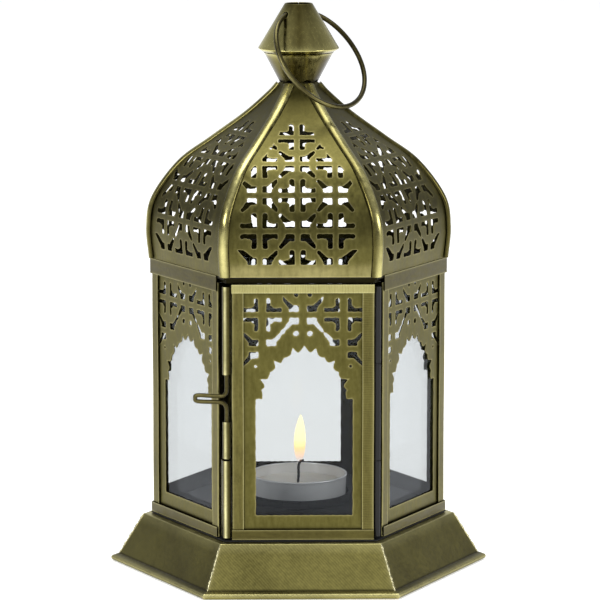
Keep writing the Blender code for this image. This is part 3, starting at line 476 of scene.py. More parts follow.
def pierced(
    name, metal, across, up, surface, thickness, stands_for, material, body, pitch=PITCH, marks=None
):
    """A sheet cut out by marching squares: a cell's corners where `metal` is above zero, and the points on
    its sides where it passes zero, make one polygon. `surface` bends the flat sheet (mm) into place, at a
    depth below its face, and a wall joins the two faces round every edge."""
    x = np.linspace(*across, int((across[1] - across[0]) / pitch) + 2)
    y = np.linspace(*up, int((up[1] - up[0]) / pitch) + 2)
    gx, gy = np.meshgrid(x, y)
    depth_in = metal(gx, gy)
    depth_in[[0, -1]] = np.minimum(depth_in[[0, -1]], -1e-3)
    depth_in[:, [0, -1]] = np.minimum(depth_in[:, [0, -1]], -1e-3)
    depth_in = np.where(np.abs(depth_in) < 0.04, np.where(depth_in > 0, 0.04, -0.04), depth_in)
    rows, columns = gx.shape
    index = np.arange(rows * columns).reshape(rows, columns)

    def cut(first, second, grid):
        """Where the metal's edge crosses a side of the grid: depth / (depth - next depth) of the way."""
        share = depth_in[first] / (depth_in[first] - depth_in[second] + 1e-12)
        return grid[first] + np.clip(share, 0, 1) * (grid[second] - grid[first])

    left, right = np.s_[:, :-1], np.s_[:, 1:]
    low, high = np.s_[:-1, :], np.s_[1:, :]
    flat_x = np.concatenate([gx.ravel(), cut(left, right, gx).ravel(), cut(low, high, gx).ravel()])
    flat_y = np.concatenate([gy.ravel(), cut(left, right, gy).ravel(), cut(low, high, gy).ravel()])
    level = rows * columns + np.arange(rows * (columns - 1)).reshape(rows, columns - 1)
    upright = level[-1, -1] + 1 + np.arange((rows - 1) * columns).reshape(rows - 1, columns)
    ring = [index[:-1, :-1], level[:-1], index[:-1, 1:], upright[:, 1:],
            index[1:, 1:], level[1:], index[1:, :-1], upright[:, :-1]]
    inside = depth_in > 0
    corner_in = [inside[:-1, :-1], inside[:-1, 1:], inside[1:, 1:], inside[1:, :-1]]
    case = sum(corner_in[k].astype(int) << k for k in range(4))
    faces = []
    for kind in range(1, 16):
        held = [kind >> k & 1 for k in range(4)]
        crossed = [2 * k + 1 for k in range(4) if held[k] != held[(k + 1) % 4]]
        picks = [2 * k for k in range(4) if held[k]] + crossed
        chosen = case == kind
        if chosen.any():
            faces.append(np.stack([ring[pick][chosen] for pick in sorted(picks)], axis=-1))
    used, compact = np.unique(np.concatenate([face.ravel() for face in faces]), return_inverse=True)
    splits = np.split(compact, np.cumsum([face.size for face in faces])[:-1])
    faces = [part.reshape(face.shape) for part, face in zip(splits, faces)]
    flat_x, flat_y, count = flat_x[used], flat_y[used], len(used)
    points = np.concatenate([surface(flat_x, flat_y, 0.0), surface(flat_x, flat_y, thickness)])
    edges = [np.stack([face, np.roll(face, -1, axis=1)], axis=-1).reshape(-1, 2) for face in faces]
    edges = np.concatenate(edges)
    code, back_code = edges[:, 0] * count + edges[:, 1], edges[:, 1] * count + edges[:, 0]
    rim = edges[~np.isin(code, back_code)]
    walls = np.stack([rim[:, 1], rim[:, 0], rim[:, 0] + count, rim[:, 1] + count], axis=1)
    groups = faces + [face[:, ::-1] + count for face in faces] + [walls]
    near = np.clip(metal(flat_x, flat_y), 0, 3)
    near = np.where(np.isin(np.arange(count), rim), 0, near)
    # The sawn edges are worn bright with a painted highlight on them, and the whole back face is painted
    # shade.
    rubbed, shaded = marks(flat_x, flat_y) if marks else (0 * flat_x, 0 * flat_x)
    wear = np.concatenate([np.clip(np.exp(-near / 0.2) * 0.55 + rubbed, 0, 1), np.zeros(count)])
    soot = np.concatenate([shaded, np.full(count, 0.62)])
    return new_piece(name, points, groups, material, body, "antique_brass", stands_for, wear, 30, soot)


def flat_wall(wall, middle, face):
    """The place of (x, y) on a wall: out from the axis by `face` less the depth, then turned to the wall."""

    def surface(x, y, depth):
        """The point of the wall at (x, y) millimetres."""
        out = np.full_like(x, -(face - depth))
        return turn_about_z(np.stack([middle + x * MM, out, y * MM], axis=1), wall * TURN)

    return surface


def wall_marks(left, right):
    """The sheet is dark along the strips that frame it: patina in the crevices there, with painted shade
    cast by the strips.
    """

    def marks(x, y):
        """Nothing bright, and painted shade with patina, as e to the minus distance from the nearest strip.
        """
        level_gap = np.minimum(y - BODY_LOW / MM - 3.7, BODY_TOP / MM - 3.2 - y)
        gap = np.minimum(np.minimum(x - left, right - x), level_gap)
        return 0 * x, 0.75 * np.exp(-np.maximum(gap, 0) / 0.5)

    return marks


# Antique brass sheet: the darkest olive, brushed upwards, with sawn edges that catch the light.
SHEET_BRASS = aged_brass("antique_brass_sheet", "#47421F", "#6E6838", "#C2B77A", 0.38, (10, 10, 3))

door_half = (DOOR_SHEET_HIGH[0] - DOOR_SHEET_LOW[0]) / 2 / MM
levels = (BODY_LOW / MM, BODY_TOP / MM)
door_place = flat_wall(0, DOOR_MIDDLE, SHEET_FACE)
pierced("pierced_door_sheet", wall_metal, (-door_half, door_half), levels, door_place, SHEET, ["door_sheet"],
        SHEET_BRASS, "door", marks=wall_marks(-22.3, 22.3))
for wall in range(1, WALLS):
    beside_door = {1: -1, 5: 1}.get(wall, 0)
    half_wall, near_door = 26.15, 22.7
    set_over = -beside_door * 1.8
    start, stop = [side * (near_door if beside_door == side else half_wall) - set_over for side in (-1, 1)]
    left, right = [side * (18.9 if beside_door == side else 24.0) - set_over for side in (-1, 1)]
    side_place = flat_wall(wall, set_over * MM, SHEET_FACE)
    pierced(f"pierced_side_sheet_{wall}", wall_metal, (start, stop), levels, side_place, SHEET,
            [f"side_sheet_{wall}"], SHEET_BRASS, "lantern", marks=wall_marks(left, right))


# Dome: six gores of the same sheet, bent along the onion outline and pierced all over in a grid of
# crossings, alternately four knees and four legs. Painted shade leaves their insides almost black.

EAVE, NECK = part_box("dome_gore_1")[0][2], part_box("dome_gore_1")[1][2]
RIB_PROUD = 0.9 * MM
RIB_WIDTH = 4.5 * MM
OUTLINE = np.array([(1.000, 0.000), (1.019, 0.180), (0.974, 0.353), (0.768, 0.556), (0.512, 0.693),
                    (0.251, 0.829), (0.070, 0.944), (0.000, 1.000)])
NECK_RADIUS = 8.6 * MM
EAVE_RADIUS = 58.0 * MM


def through(knots, per_span):
    """A Catmull-Rom curve through the knots: a span from b to c, with a before and d after, is
    0.5 (2b + (c-a)t + (2a-5b+4c-d)t^2 + (3b-a-3c+d)t^3)."""
    knots = np.asarray(knots, float)
    ends = np.vstack([2 * knots[0] - knots[1], knots, 2 * knots[-1] - knots[-2]])
    t = np.arange(per_span)[:, None] / per_span
    spans = [
        0.5 * (2 * b + (c - a) * t + (2 * a - 5 * b + 4 * c - d) * t**2 + (3 * b - a - 3 * c + d) * t**3)
        for a, b, c, d in zip(ends, ends[1:], ends[2:], ends[3:])
    ]
    return np.vstack([*spans, knots[-1:]])


def direction(line):
    """The unit direction of a line at each of its points."""
    way = np.gradient(line, axis=0)
    return way / np.linalg.norm(way, axis=1)[:, None]


rib_line = through(OUTLINE, 24)
rib_line = [NECK_RADIUS, EAVE] + [EAVE_RADIUS - NECK_RADIUS, NECK - EAVE] * rib_line
gore_line = np.stack([(rib_line[:, 0] - RIB_PROUD) * COS30, rib_line[:, 1]], axis=1)
gore_run = np.concatenate([[0], np.cumsum(np.hypot(*np.diff(gore_line, axis=0).T))]) / MM
gore_way = direction(gore_line)


def gore_metal(x, y):
    """The gore's metal at x across and y up along its curve. Bars cross every 14.15 by 13.85 mm."""
    wide, tall, foot = 14.15, 13.85, 3.7
    x = x + 1.1
    column = np.clip(np.round(x / wide), -1, 1)
    row = np.clip(np.round((y - foot) / tall), 0, 4)
    across, up = x - column * wide, y - foot - row * tall
    a, b = np.abs(across), np.abs(up)
    knee = (np.abs(column) + row) % 2 == 0
    legs = leg_hole(a, b, (1.05, 1.05), (4.6, 3.8), (6.3, 5.9), 1.2, 0.72)
    knees = knee_hole(a, b, (1.05, 1.05), (7.3, 6.9), 0.88, 1.0, (5.3, 5.0, 2.3))
    pattern = np.where(knee, knees, legs)
    heights = [0, 33, 38, 43, 47, 52, 60, 64, 68]
    reaches = [22.6, 22.6, 19.5, 17.0, 13.6, 10.2, 6.9, 5.6, 4.6]
    reach = np.interp(y, heights, reaches)
    pattern = np.minimum(pattern, (reach - np.abs(x)) * 0.8)
    pattern = np.minimum(pattern, np.minimum(y - 4.8, 67.2 - y))
    wedge = np.where(np.abs(x) > wide, stroke(np.abs(x), y, (17.0, 6.2), (21.6, 10.6), 1.5, 0.7), -3.0)
    pattern = np.maximum(pattern, np.where(y < 10.6, wedge, -3.0))
    for side in (-1, 1):
        pattern = np.maximum(pattern, spot(x, y, (side * 9.7, 53.4), 0.6))
    edge = np.interp(y, gore_run, gore_line[:, 0]) / MM * TAN30 - 0.9
    return np.minimum(-pattern + saw_wander(x, y, 0.05), edge - np.abs(x - 1.1))


def gore_surface(wall):
    """A point x across and y along the gore's curve, moved in along the curve's normal by the depth."""

    def surface(x, y, depth):
        """The point of the gore at (x, y) millimetres."""
        out, rise = np.interp(y, gore_run, gore_line[:, 0]), np.interp(y, gore_run, gore_line[:, 1])
        away, along = np.interp(y, gore_run, gore_way[:, 1]), np.interp(y, gore_run, gore_way[:, 0])
        points = np.stack([x * MM, -(out - depth * away), rise + depth * along], axis=1)
        return turn_about_z(points, wall * TURN)

    return surface


# Antique brass gore: as the walls' sheet, a shade warmer.
GORE_BRASS = aged_brass("antique_brass_gore", "#45401F", "#736D3C", "#C4B97E", 0.38, (10, 10, 3))


def gore_marks(wall):
    """The rim is worn bright, and far brighter on the front gore, a painted highlight; painted shade from
    the belly up is a bell curve of the height, full on the front gore, half on the others plus an even
    share.
    """
    rim = 0.5 if wall == 0 else 0.08

    def marks(x, y):
        """Worn brightness with painted highlight, and painted shade, at (x, y) millimetres."""
        rubbed = rim * np.exp(-((y / 4.6) ** 4)) * (0.8 + 0.2 * np.sin(x / 4))
        shaded = 0.42 * np.exp(-(((y - 19) / 9.5) ** 2)) + 0.3 * np.clip((y - 50) / 14, 0, 1)
        return rubbed, shaded * (1.0 if wall == 0 else 0.5) + (0.0 if wall == 0 else 0.12)

    return marks


for wall in range(WALLS):
    height = (0.0, gore_run[-1] - 0.05)
    pierced(f"pierced_gore_{wall + 1}", gore_metal, (-29, 29), height, gore_surface(wall), SHEET,
            [f"dome_gore_{wall + 1}"], GORE_BRASS, "lantern", marks=gore_marks(wall))


# Ribs: half-round strips bent over the joints between the gores and soldered down. Hands and polishing
# cloths reach their crowns first, so those shine, with a painted highlight along them; the sides keep their
# patina and painted shade darkens the feet.

RIB_DEPTH = 1.7 * MM
# Rubbed brass rib: olive; the crown is worn to bare metal and carries a long painted highlight, and its feet
# get painted shade.
RIB_BRASS = aged_brass("rubbed_brass_rib", "#3D381C", "#6F6839", "#DDD48E", 0.24, (10, 10, 3))

rib_way = direction(rib_line)


def rib(corner):
    """A flattened half round, 4.5 mm wide and 1.7 mm deep, carried up the outline with its crown on it."""
    angle = np.linspace(0, math.pi, 19)
    bulge = np.sin(angle) ** 0.7
    arch = np.stack([RIB_WIDTH / 2 * np.cos(angle), RIB_DEPTH * (bulge - 1)], axis=1)
    flat = np.stack([np.linspace(-1, 1, 6)[1:-1] * RIB_WIDTH / 2, np.full(4, -RIB_DEPTH)], axis=1)
    count = len(rib_line)
    sway = 0.12 * MM * np.sin(np.linspace(0, 9, count) + corner) * np.sin(np.linspace(0, math.pi, count))
    stations = np.stack([rib_line[:, 0], sway, rib_line[:, 1]], axis=1)
    up = np.stack([rib_way[:, 1], np.zeros(count), -rib_way[:, 0]], axis=1)
    points, groups = carried(np.concatenate([arch, flat]), stations, [0, 1.0, 0], up)
    # The crown's brightness is worn metal plus a painted highlight, turned a little to one side and stronger
    # or weaker along the rib; the feet and the flat underside get painted shade.
    crown = np.concatenate([np.clip(np.sin(angle + 0.25), 0, 1) ** 4, np.zeros(4)])
    lit = 0.7 + 0.3 * np.sin(np.linspace(0, 17, count) + 2 * corner)
    wear = np.outer(lit, crown).ravel()
    foot = np.concatenate([0.75 * np.exp(-np.sin(angle) / 0.3), np.full(4, 0.8)])
    new_piece(f"rib_{corner + 1}", turn_about_z(points, (corner - 2) * TURN), groups, RIB_BRASS, "lantern",
              "worn_brass", [f"dome_rib_{corner + 1}"], wear, 40, np.tile(foot, count))


for corner in range(WALLS):
    rib(corner)


# Frame: corner posts, door stiles, rails and bands, all of narrow brass strip folded over the edges of the
# pierced sheets and the panes and soldered. The strips are worn bright along their folds and sheared edges,
# with a painted highlight there, and their backs and the returns in the door's gaps are painted shade.

# Antique brass strip: olive, brushed upwards. The cross-filed one also shows level file strokes.
strip = ("#413C20", "#736C3C", "#CFC68A", 0.32, (14, 14, 2))
STRIP_BRASS = aged_brass("antique_brass_strip", *strip)
CROSS_BRASS = aged_brass("cross_filed_brass", *strip, hatch=(90, 0.65, 0.3))
# Rubbed brass rail: pale gold with upright strokes, where hands pull the door.
upright_strokes = (0, 0.6, 0.35)
RAIL_BRASS = aged_brass("rubbed_brass_rail", "#666033", "#9B9456", "#E0D89C", 0.3, (20, 20, 2),
                        hatch=upright_strokes)
# Dull brass band: dark olive, brushed level.
BAND_BRASS = aged_brass("dull_brass_band", "#37321A", "#625B31", "#CFC68A", 0.34, (3, 3, 14))
STRIP = 4.4 * MM
RAIL_FACE = -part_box("door_rail_top")[0][1]
STRIP_FACE = RAIL_FACE - 0.7 * MM
WALL_EDGE = RAIL_FACE * TAN30
SIDE_EDGE = WALL_EDGE - 5.6 * MM
RETURN_DEPTH = 4.2 * MM
DOOR_RETURN = 3.0 * MM
DOOR_LEFT, DOOR_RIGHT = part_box("door_rail_top")[0][0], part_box("door_rail_top")[1][0]


def on_wall(wall, out, across):
    """The place in plan `out` from the axis and `across` to the right on a wall, seen from outside."""
    return turn_about_z(np.array([across, -out, 0.0]), wall * TURN)[:2]


def strip_section(corners, thickness, bend=0.45 * MM, grain=0.2 * MM):
    """A strip's section: its outer line with rounded folds, and that line moved across by the thickness. The
    brightness, worn edges with a painted highlight, falls off as e to the minus distance from a sheared edge
    or a fold."""
    corners = np.asarray(corners, float)
    line = rounded(corners, bend, 6, closed=False)
    run = np.concatenate([[0], np.cumsum(np.hypot(*np.diff(line, axis=0).T))])
    even = np.linspace(0, run[-1], max(4, int(run[-1] / grain)))
    line = np.stack([np.interp(even, run, line[:, 0]), np.interp(even, run, line[:, 1])], axis=1)
    back = line + direction(line)[:, ::-1] * [-1, 1] * thickness
    folds = corners[1:-1]
    from_fold = np.min([np.hypot(*(line - fold).T) for fold in folds], axis=0) if len(folds) else np.inf
    wear = 0.8 * np.exp(-np.minimum(even, even[-1] - even) / (0.15 * MM)) + np.exp(-from_fold / (0.3 * MM))
    return np.concatenate([line, back[::-1]]), np.concatenate([np.clip(wear, 0, 1), 0 * even])


def upright(name, corners, low, high, thickness, body, stands_for, wall=None):
    """A strip's section in plan, carried straight up with a sway of a few hundredths of a millimetre. Its
    back is painted shade, and so is a fold that runs in past the wall's face, darker with each millimetre it
    goes in."""
    section, wear = strip_section(corners, thickness)
    steps = max(4, int((high - low) / (2 * MM)))
    rise = np.linspace(low, high, steps)
    sway = 0.04 * MM * np.sin(rise / (9 * MM) + len(name) + section[0, 0] / (3 * MM))
    stations = np.stack([sway, -sway, rise], axis=1)
    points, groups = carried(section, stations, [1.0, 0, 0], [0, 1.0, 0])
    ends = np.exp(-np.minimum(rise - low, high - rise) / (0.4 * MM))
    half = len(section) // 2
    behind = np.zeros(half)
    if wall is not None:
        facing = np.array([math.sin(wall * TURN), -math.cos(wall * TURN)])
        behind = np.clip((STRIP_FACE - section[:half] @ facing) / (1.0 * MM), 0, 1)
    soot = np.concatenate([0.95 * behind, np.full(half, 0.7)])
    wear = np.clip(wear[None, :] + 0.6 * ends[:, None], 0, 1) * (1 - soot)
    material = CROSS_BRASS if name == "stile_right" else STRIP_BRASS
    new_piece(name, points, groups, material, body, "antique_brass", [stands_for], wear.ravel(), 30,
              np.tile(soot, steps))


def level_strip(name, plan, low, high, body, material, rubbed):
    """A flat strip on edge, carried along a line in plan whose corners are rounded by 0.6 mm."""
    plan = np.asarray(plan, float)
    if len(plan) > 2:
        plan = rounded(plan, 0.6 * MM, 5, closed=False)
    else:
        plan = np.linspace(plan[0], plan[1], 30)
    way = direction(plan)
    out = np.stack([way[:, 1], -way[:, 0], 0 * way[:, 0]], axis=1)
    rows = np.linspace(low, high, 13)
    face = np.stack([0 * rows, rows], axis=1)
    section = np.concatenate([face, (face - [SHEET, 0])[::-1]])
    edge = np.exp(-np.minimum(rows - low, high - rows) / (0.2 * MM)) * (0.5 + rubbed)
    stations = np.stack([plan[:, 0], plan[:, 1], 0 * plan[:, 0]], axis=1)
    points, groups = carried(section, stations, out, [0, 0, 1.0])
    wear = np.tile(np.concatenate([rubbed + (0.9 - rubbed) * edge, 0 * rows]), len(plan))
    # Painted shade on the strip's back face.
    soot = np.tile(np.concatenate([0 * rows, 0 * rows + 0.9]), len(plan))
    node = name.replace("rubbed_", "")
    new_piece(name, points, groups, material, body, "antique_brass", [node], wear, 30, soot)


for corner in range(2, WALLS):
    before, edge = (corner - 1) % WALLS, STRIP_FACE * TAN30
    corners = [on_wall(before, STRIP_FACE, edge - STRIP), on_wall(before, STRIP_FACE, edge),
               on_wall(corner, STRIP_FACE, STRIP - edge)]
    upright(f"post_{corner}", corners, BODY_LOW, BODY_TOP, SHEET, "lantern", f"corner_post_{corner}")
for name, wall, side in (("1", 1, -1), ("6", 5, 1)):
    plan = [(STRIP_FACE, SIDE_EDGE - STRIP), (STRIP_FACE, SIDE_EDGE), (STRIP_FACE - RETURN_DEPTH, SIDE_EDGE)]
    corners = [on_wall(wall, out, side * across) for out, across in plan]
    upright(f"post_{name}", corners if side > 0 else corners[::-1], BODY_LOW, BODY_TOP, SHEET, "lantern",
            f"corner_post_{name}", wall)
for name, edge, inward in (("left", DOOR_LEFT, 1), ("right", DOOR_RIGHT, -1)):
    corners = [(edge, DOOR_RETURN - STRIP_FACE), (edge, -STRIP_FACE), (edge + inward * STRIP, -STRIP_FACE)]
    upright(f"stile_{name}", corners if inward > 0 else corners[::-1], BODY_LOW, BODY_TOP, SHEET, "door",
            f"door_stile_{name}", 0)
turns = [on_wall(wall, RAIL_FACE, WALL_EDGE) for wall in range(1, 5)]
band_plan = [on_wall(1, RAIL_FACE, -SIDE_EDGE), *turns, on_wall(5, RAIL_FACE, SIDE_EDGE)]
for name, plan, body in (("band", band_plan, "lantern"),
                         ("door_rail", [(DOOR_LEFT, -RAIL_FACE), (DOOR_RIGHT, -RAIL_FACE)], "door")):
    for place in ("top", "bottom"):
        node = f"door_rail_{place}" if body == "door" else f"{place}_band"
        low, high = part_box(node)
        material, rubbed = (RAIL_BRASS, 0.3) if node == "door_rail_top" else (BAND_BRASS, 0.0)
        top = EAVE - 0.05 * MM if node == "top_band" else high[2]
        level_strip("rubbed_" + node, plan, low[2], top, body, material, rubbed)


# Top frame, floor and hinge: a flat ring under the dome's eave with a collar hung inside it to centre the
# dome on the walls, both near black as painted shade that fills the gap under the eave, a pressed black
# floor pan with a low ring that holds the candle, and a black steel hinge of rolled knuckles on a pin.

TOP_FRAME_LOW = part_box("top_frame")[0][2]
COLLAR_FACE = RAIL_FACE - 4.6 * MM
# Dark brass: brown-black, painted shade for the top frame and collar under the dome's eave.
DARK_BRASS = aged_brass("shade_dark_brass", "#15130A", "#2E2A17", "#6B6338", 0.45)
heart = np.array([(0, TOP_FRAME_LOW), (0, TOP_FRAME_LOW - 3.6 * MM), (-SHEET, TOP_FRAME_LOW - 3.6 * MM),
                  (-SHEET, TOP_FRAME_LOW)])
corner_turn = TURN * (np.arange(WALLS) + 0.5)
spoke = np.stack([np.sin(corner_turn), -np.cos(corner_turn), 0 * corner_turn], axis=1) / COS30
points, groups = carried(heart, spoke * COLLAR_FACE, spoke, [0, 0, 1.0], closed=True)
new_piece("dome_shade_collar", points, groups, DARK_BRASS, "lantern", "antique_brass", crease=20)


def surfaced(names, material):
    """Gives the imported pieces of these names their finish."""
    for name in names:
        NODES[name].data.materials.clear()
        NODES[name].data.materials.append(material)


def blackened(name, low, high, roughness, dust=11.111 * MM, grit=0.714 * MM):
    """Steel blackened in hot oil: a dull, nearly black skin, greyer where dust lies and hands have worn it.
    """
    material, tree = new_material(name, {"Metallic": 0.4})
    place = add_node(tree, "TexCoord").outputs["Object"]
    patches = {"Vector": place, "Scale": 1 / dust, "Detail": 5.0, "Roughness": 0.65}
    dusty = add_node(tree, "TexNoise", patches)
    colour = add_node(tree, "Mix", {"Factor": dusty, "A": linear(low), "B": linear(high)}, data_type="RGBA")
    dull = {"Value": dusty, "To Min": roughness - 0.1, "To Max": roughness + 0.15}
    rough = add_node(tree, "MapRange", dull)
    gritty = add_node(tree, "TexNoise", {"Vector": place, "Scale": 1 / grit, "Detail": 2.0})
    bump = add_node(tree, "Bump", {"Height": gritty, "Strength": 0.3, "Distance": 0.05 * MM})
    feed(tree, tree.nodes["Principled BSDF"], {"Base Color": colour, "Roughness": rough, "Normal": bump})
    return material


surfaced(["top_frame"], DARK_BRASS)
# Oil-blackened steel: matt blue-black on the floor, and blacker and a little glossier on the hinge.
BLACK_FLOOR = blackened("oil_blackened_steel_floor", "#121214", "#26272A", 0.6)
BLACK_HINGE = blackened("oil_blackened_steel_hinge", "#0B0B0B", "#1D1C1A", 0.5)
surfaced(["floor_pan", "candle_holder"], BLACK_FLOOR)
surfaced(["frame_knuckle_low", "frame_knuckle_top", "door_knuckle", "hinge_pin"], BLACK_HINGE)


# Panes: plain window glass cut by hand, one behind each pierced sheet. It lets most light straight through,
# tints it faintly blue-grey and mirrors a little of the studio.

def window_glass():
    """Clear glass: mostly transparent, with a mirror share that grows as (1 - cosine) to the power 4."""
    material, tree = new_material("clear_window_glass")
    tree.nodes.clear()
    clear = add_node(tree, "BsdfTransparent", {"Color": linear("#EDEEEE")})
    mirror = {"Base Color": linear("#C8CCD2"), "Roughness": 0.04, "Metallic": 1.0}
    gloss = add_node(tree, "BsdfPrincipled", mirror)
    facing = add_node(tree, "LayerWeight", {"Blend": 0.5}).outputs["Facing"]
    steep = add_node(tree, "Math", {0: facing, 1: 4.0}, operation="POWER")
    share = add_node(tree, "MapRange", {"Value": steep, "To Min": 0.018, "To Max": 0.6})
    both = add_node(tree, "MixShader", {0: share, 1: clear, 2: gloss})
    add_node(tree, "OutputMaterial", {"Surface": both})
    return material


surfaced(["door_pane", *[f"side_pane_{wall}" for wall in range(1, WALLS)]], window_glass())


# Finial: two cones of rolled sheet soldered rim to rim and closed by a small cap, with a hole drilled
# through either side of the upper cone for the ring.

# Antique brass cone: spun smooth, with painted reflections in broad upright bands, dark at the front and
# gold beside.
CONE_BRASS = aged_brass("antique_brass_cone", "#3A3216", "#665D2E", "#D6CD86", 0.2, (14, 14, 2), depth=0.012,
                        spread=0.7, mottle=0.06, drawn=0.12)
CONE_WALL = 0.6 * MM
(_, _, NECK_LOW), (LOWER_RADIUS, _, LOWER_TOP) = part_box("finial_lower_cone")
(_, _, LIP_LOW), (RIM_RADIUS, _, FINIAL_TOP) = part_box("finial_upper_cone")
NECK_TUBE = 7.5 * MM
TOP_RADIUS = 5.3 * MM
RIM = LIP_LOW + 1.5 * MM
RING_HEIGHT = FINIAL_TOP - 4.2 * MM
RING_AXIS = math.radians(-133.4)


def turned(profile, steps=96, wobble=0.0):
    """A closed profile of (radius, height) turned about Z: point = radius * (cos, sin) of angle, height."""
    profile = np.asarray(profile, float)
    angle = np.linspace(0, 2 * math.pi, steps, endpoint=False)
    size = 1 + wobble * np.sin(3 * angle + 0.7) + wobble * 0.6 * np.sin(5 * angle)
    radial = np.stack([np.cos(angle), np.sin(angle), 0 * angle], axis=1) * size[:, None]
    return carried(profile, np.zeros((steps, 3)), radial, [0, 0, 1.0], closed=True)


def welded(piece, distance=0.002 * MM):
    """Closes the poles: the points that meet on the axis become one."""
    mesh = piece.data
    piece_form = bmesh.new()
    piece_form.from_mesh(mesh)
    bmesh.ops.remove_doubles(piece_form, verts=piece_form.verts, dist=distance)
    bmesh.ops.dissolve_degenerate(piece_form, edges=piece_form.edges, dist=distance)
    piece_form.to_mesh(mesh)
    piece_form.free()


lower = [(NECK_TUBE, NECK_LOW), (LOWER_RADIUS - 0.4 * MM, LOWER_TOP - 0.5 * MM), (LOWER_RADIUS, LOWER_TOP),
         (LOWER_RADIUS - CONE_WALL, LOWER_TOP), (NECK_TUBE - CONE_WALL, NECK_LOW)]
points, groups = turned(np.concatenate([np.linspace(lower[0], lower[1], 14), lower[1:]]), wobble=0.004)
rise = (points[:, 2] - NECK_LOW) / (LOWER_TOP - NECK_LOW)
turn = np.arctan2(points[:, 1], points[:, 0])
# The top edge is worn bright. Painted shade darkens the foot where it meets the dome, and the flanks towards
# +X and -X, which mirror the darker sides of the studio.
wear = 0.7 * np.exp(-(1 - rise) * 12) + 0.12 + 0.1 * np.sin(5 * turn + 1.0)
soot = 0.5 * np.exp(-rise * 5) + 0.6 * np.cos(turn) ** 2 * (1 - rise**6)
new_piece("lower_cone", points, groups, CONE_BRASS, "lantern", "antique_brass", ["finial_lower_cone"], wear,
          soot=soot)

slant = math.hypot(RIM_RADIUS - TOP_RADIUS, FINIAL_TOP - RIM) / MM
mean_radius = (RIM_RADIUS + TOP_RADIUS) / 2 / MM


def cone_surface(x, y, depth):
    """The flat pattern rolled up: x over the mean radius is the angle, and y runs up the slant."""
    angle = x / mean_radius - math.pi / 2
    radius = RIM_RADIUS + (TOP_RADIUS - RIM_RADIUS) * y / slant - depth * (FINIAL_TOP - RIM) / MM / slant
    rise = RIM + (FINIAL_TOP - RIM) * y / slant - depth * (RIM_RADIUS - TOP_RADIUS) / MM / slant
    radius = radius * (1 + 0.004 * np.sin(3 * angle))
    return np.stack([radius * np.cos(angle), radius * np.sin(angle), rise], axis=1)


def cone_metal(x, y):
    """The cone's metal, with the two ring holes and the rim and the top as its edges."""
    angle = x / mean_radius - math.pi / 2
    radius = (RIM_RADIUS + (TOP_RADIUS - RIM_RADIUS) * y / slant) / MM
    level = (RING_HEIGHT - RIM) / (FINIAL_TOP - RIM) * slant
    away = [np.angle(np.exp(1j * (angle - RING_AXIS - turn))) * radius for turn in (0, math.pi)]
    holes = [1.55 - np.hypot(gap, y - level) for gap in away]
    return np.minimum(-np.maximum(*holes), np.minimum(y + 0.5, slant - y + 0.5))


half_turn = math.pi * mean_radius - 0.02


def cone_marks(x, y):
    """A painted reflection: bright stripes grow to either side, as |cos| of the angle from +X, and towards
    the rim, as a power of
    1 - height, with a worn bright edge at the rim; the painted shade is what the stripes leave, more towards
    the top."""
    rise, angle = y / slant, x / mean_radius - math.pi / 2
    bands = np.abs(np.cos(angle)) ** 1.1 * (0.9 + 0.1 * np.sin(7 * angle))
    rubbed = (1 - rise) ** 0.45 * (0.08 + 1.1 * bands) + 0.7 * np.exp(-rise * 22)
    return rubbed, (0.14 + 0.3 * np.clip((rise - 0.45) / 0.4, 0, 1)) * (1 - bands)


pierced("upper_cone", cone_metal, (-half_turn, half_turn), (0.0, slant), cone_surface, 0.45 * MM,
        ["finial_upper_cone"], CONE_BRASS, "lantern", 0.35, cone_marks)

lip = rounded([(LOWER_RADIUS + 0.3 * MM, LIP_LOW), (RIM_RADIUS, RIM - 0.25 * MM),
               (RIM_RADIUS, RIM + 0.1 * MM), (RIM_RADIUS - 1.0 * MM, RIM + 0.1 * MM),
               (LOWER_RADIUS - CONE_WALL, LIP_LOW)], 0.25 * MM)
points, groups = turned(lip, 128, 0.003)
wear = np.clip((np.hypot(points[:, 0], points[:, 1]) - LOWER_RADIUS) / (RIM_RADIUS - LOWER_RADIUS), 0, 1)
new_piece("upper_cone_rim", points, groups, CONE_BRASS, "lantern", "antique_brass", wear=wear, crease=50)
cap_low, cap_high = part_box("finial_cap")
cap_radius = cap_high[0]
cap = rounded([(0, cap_high[2] - 0.1 * MM), (0, cap_low[2]), (cap_radius + 0.25 * MM, cap_low[2]),
               (cap_radius + 0.25 * MM, cap_high[2])], 0.15 * MM, 3)
points, groups = turned(cap, 64)
wear = 0.4 * (np.hypot(points[:, 0], points[:, 1]) / cap_radius) ** 4
welded(new_piece("cap", points, groups, CONE_BRASS, "lantern", "antique_brass", ["finial_cap"], wear))


# Hanging ring: brass wire bent round a former, sprung through both holes and closed. It hangs off to one
# side, over the dome.

RING_RADIUS = 21.3 * MM
RING_WIRE = 0.95 * MM
WIRE_SIDES = 14
RING_REST = math.radians(55.2)
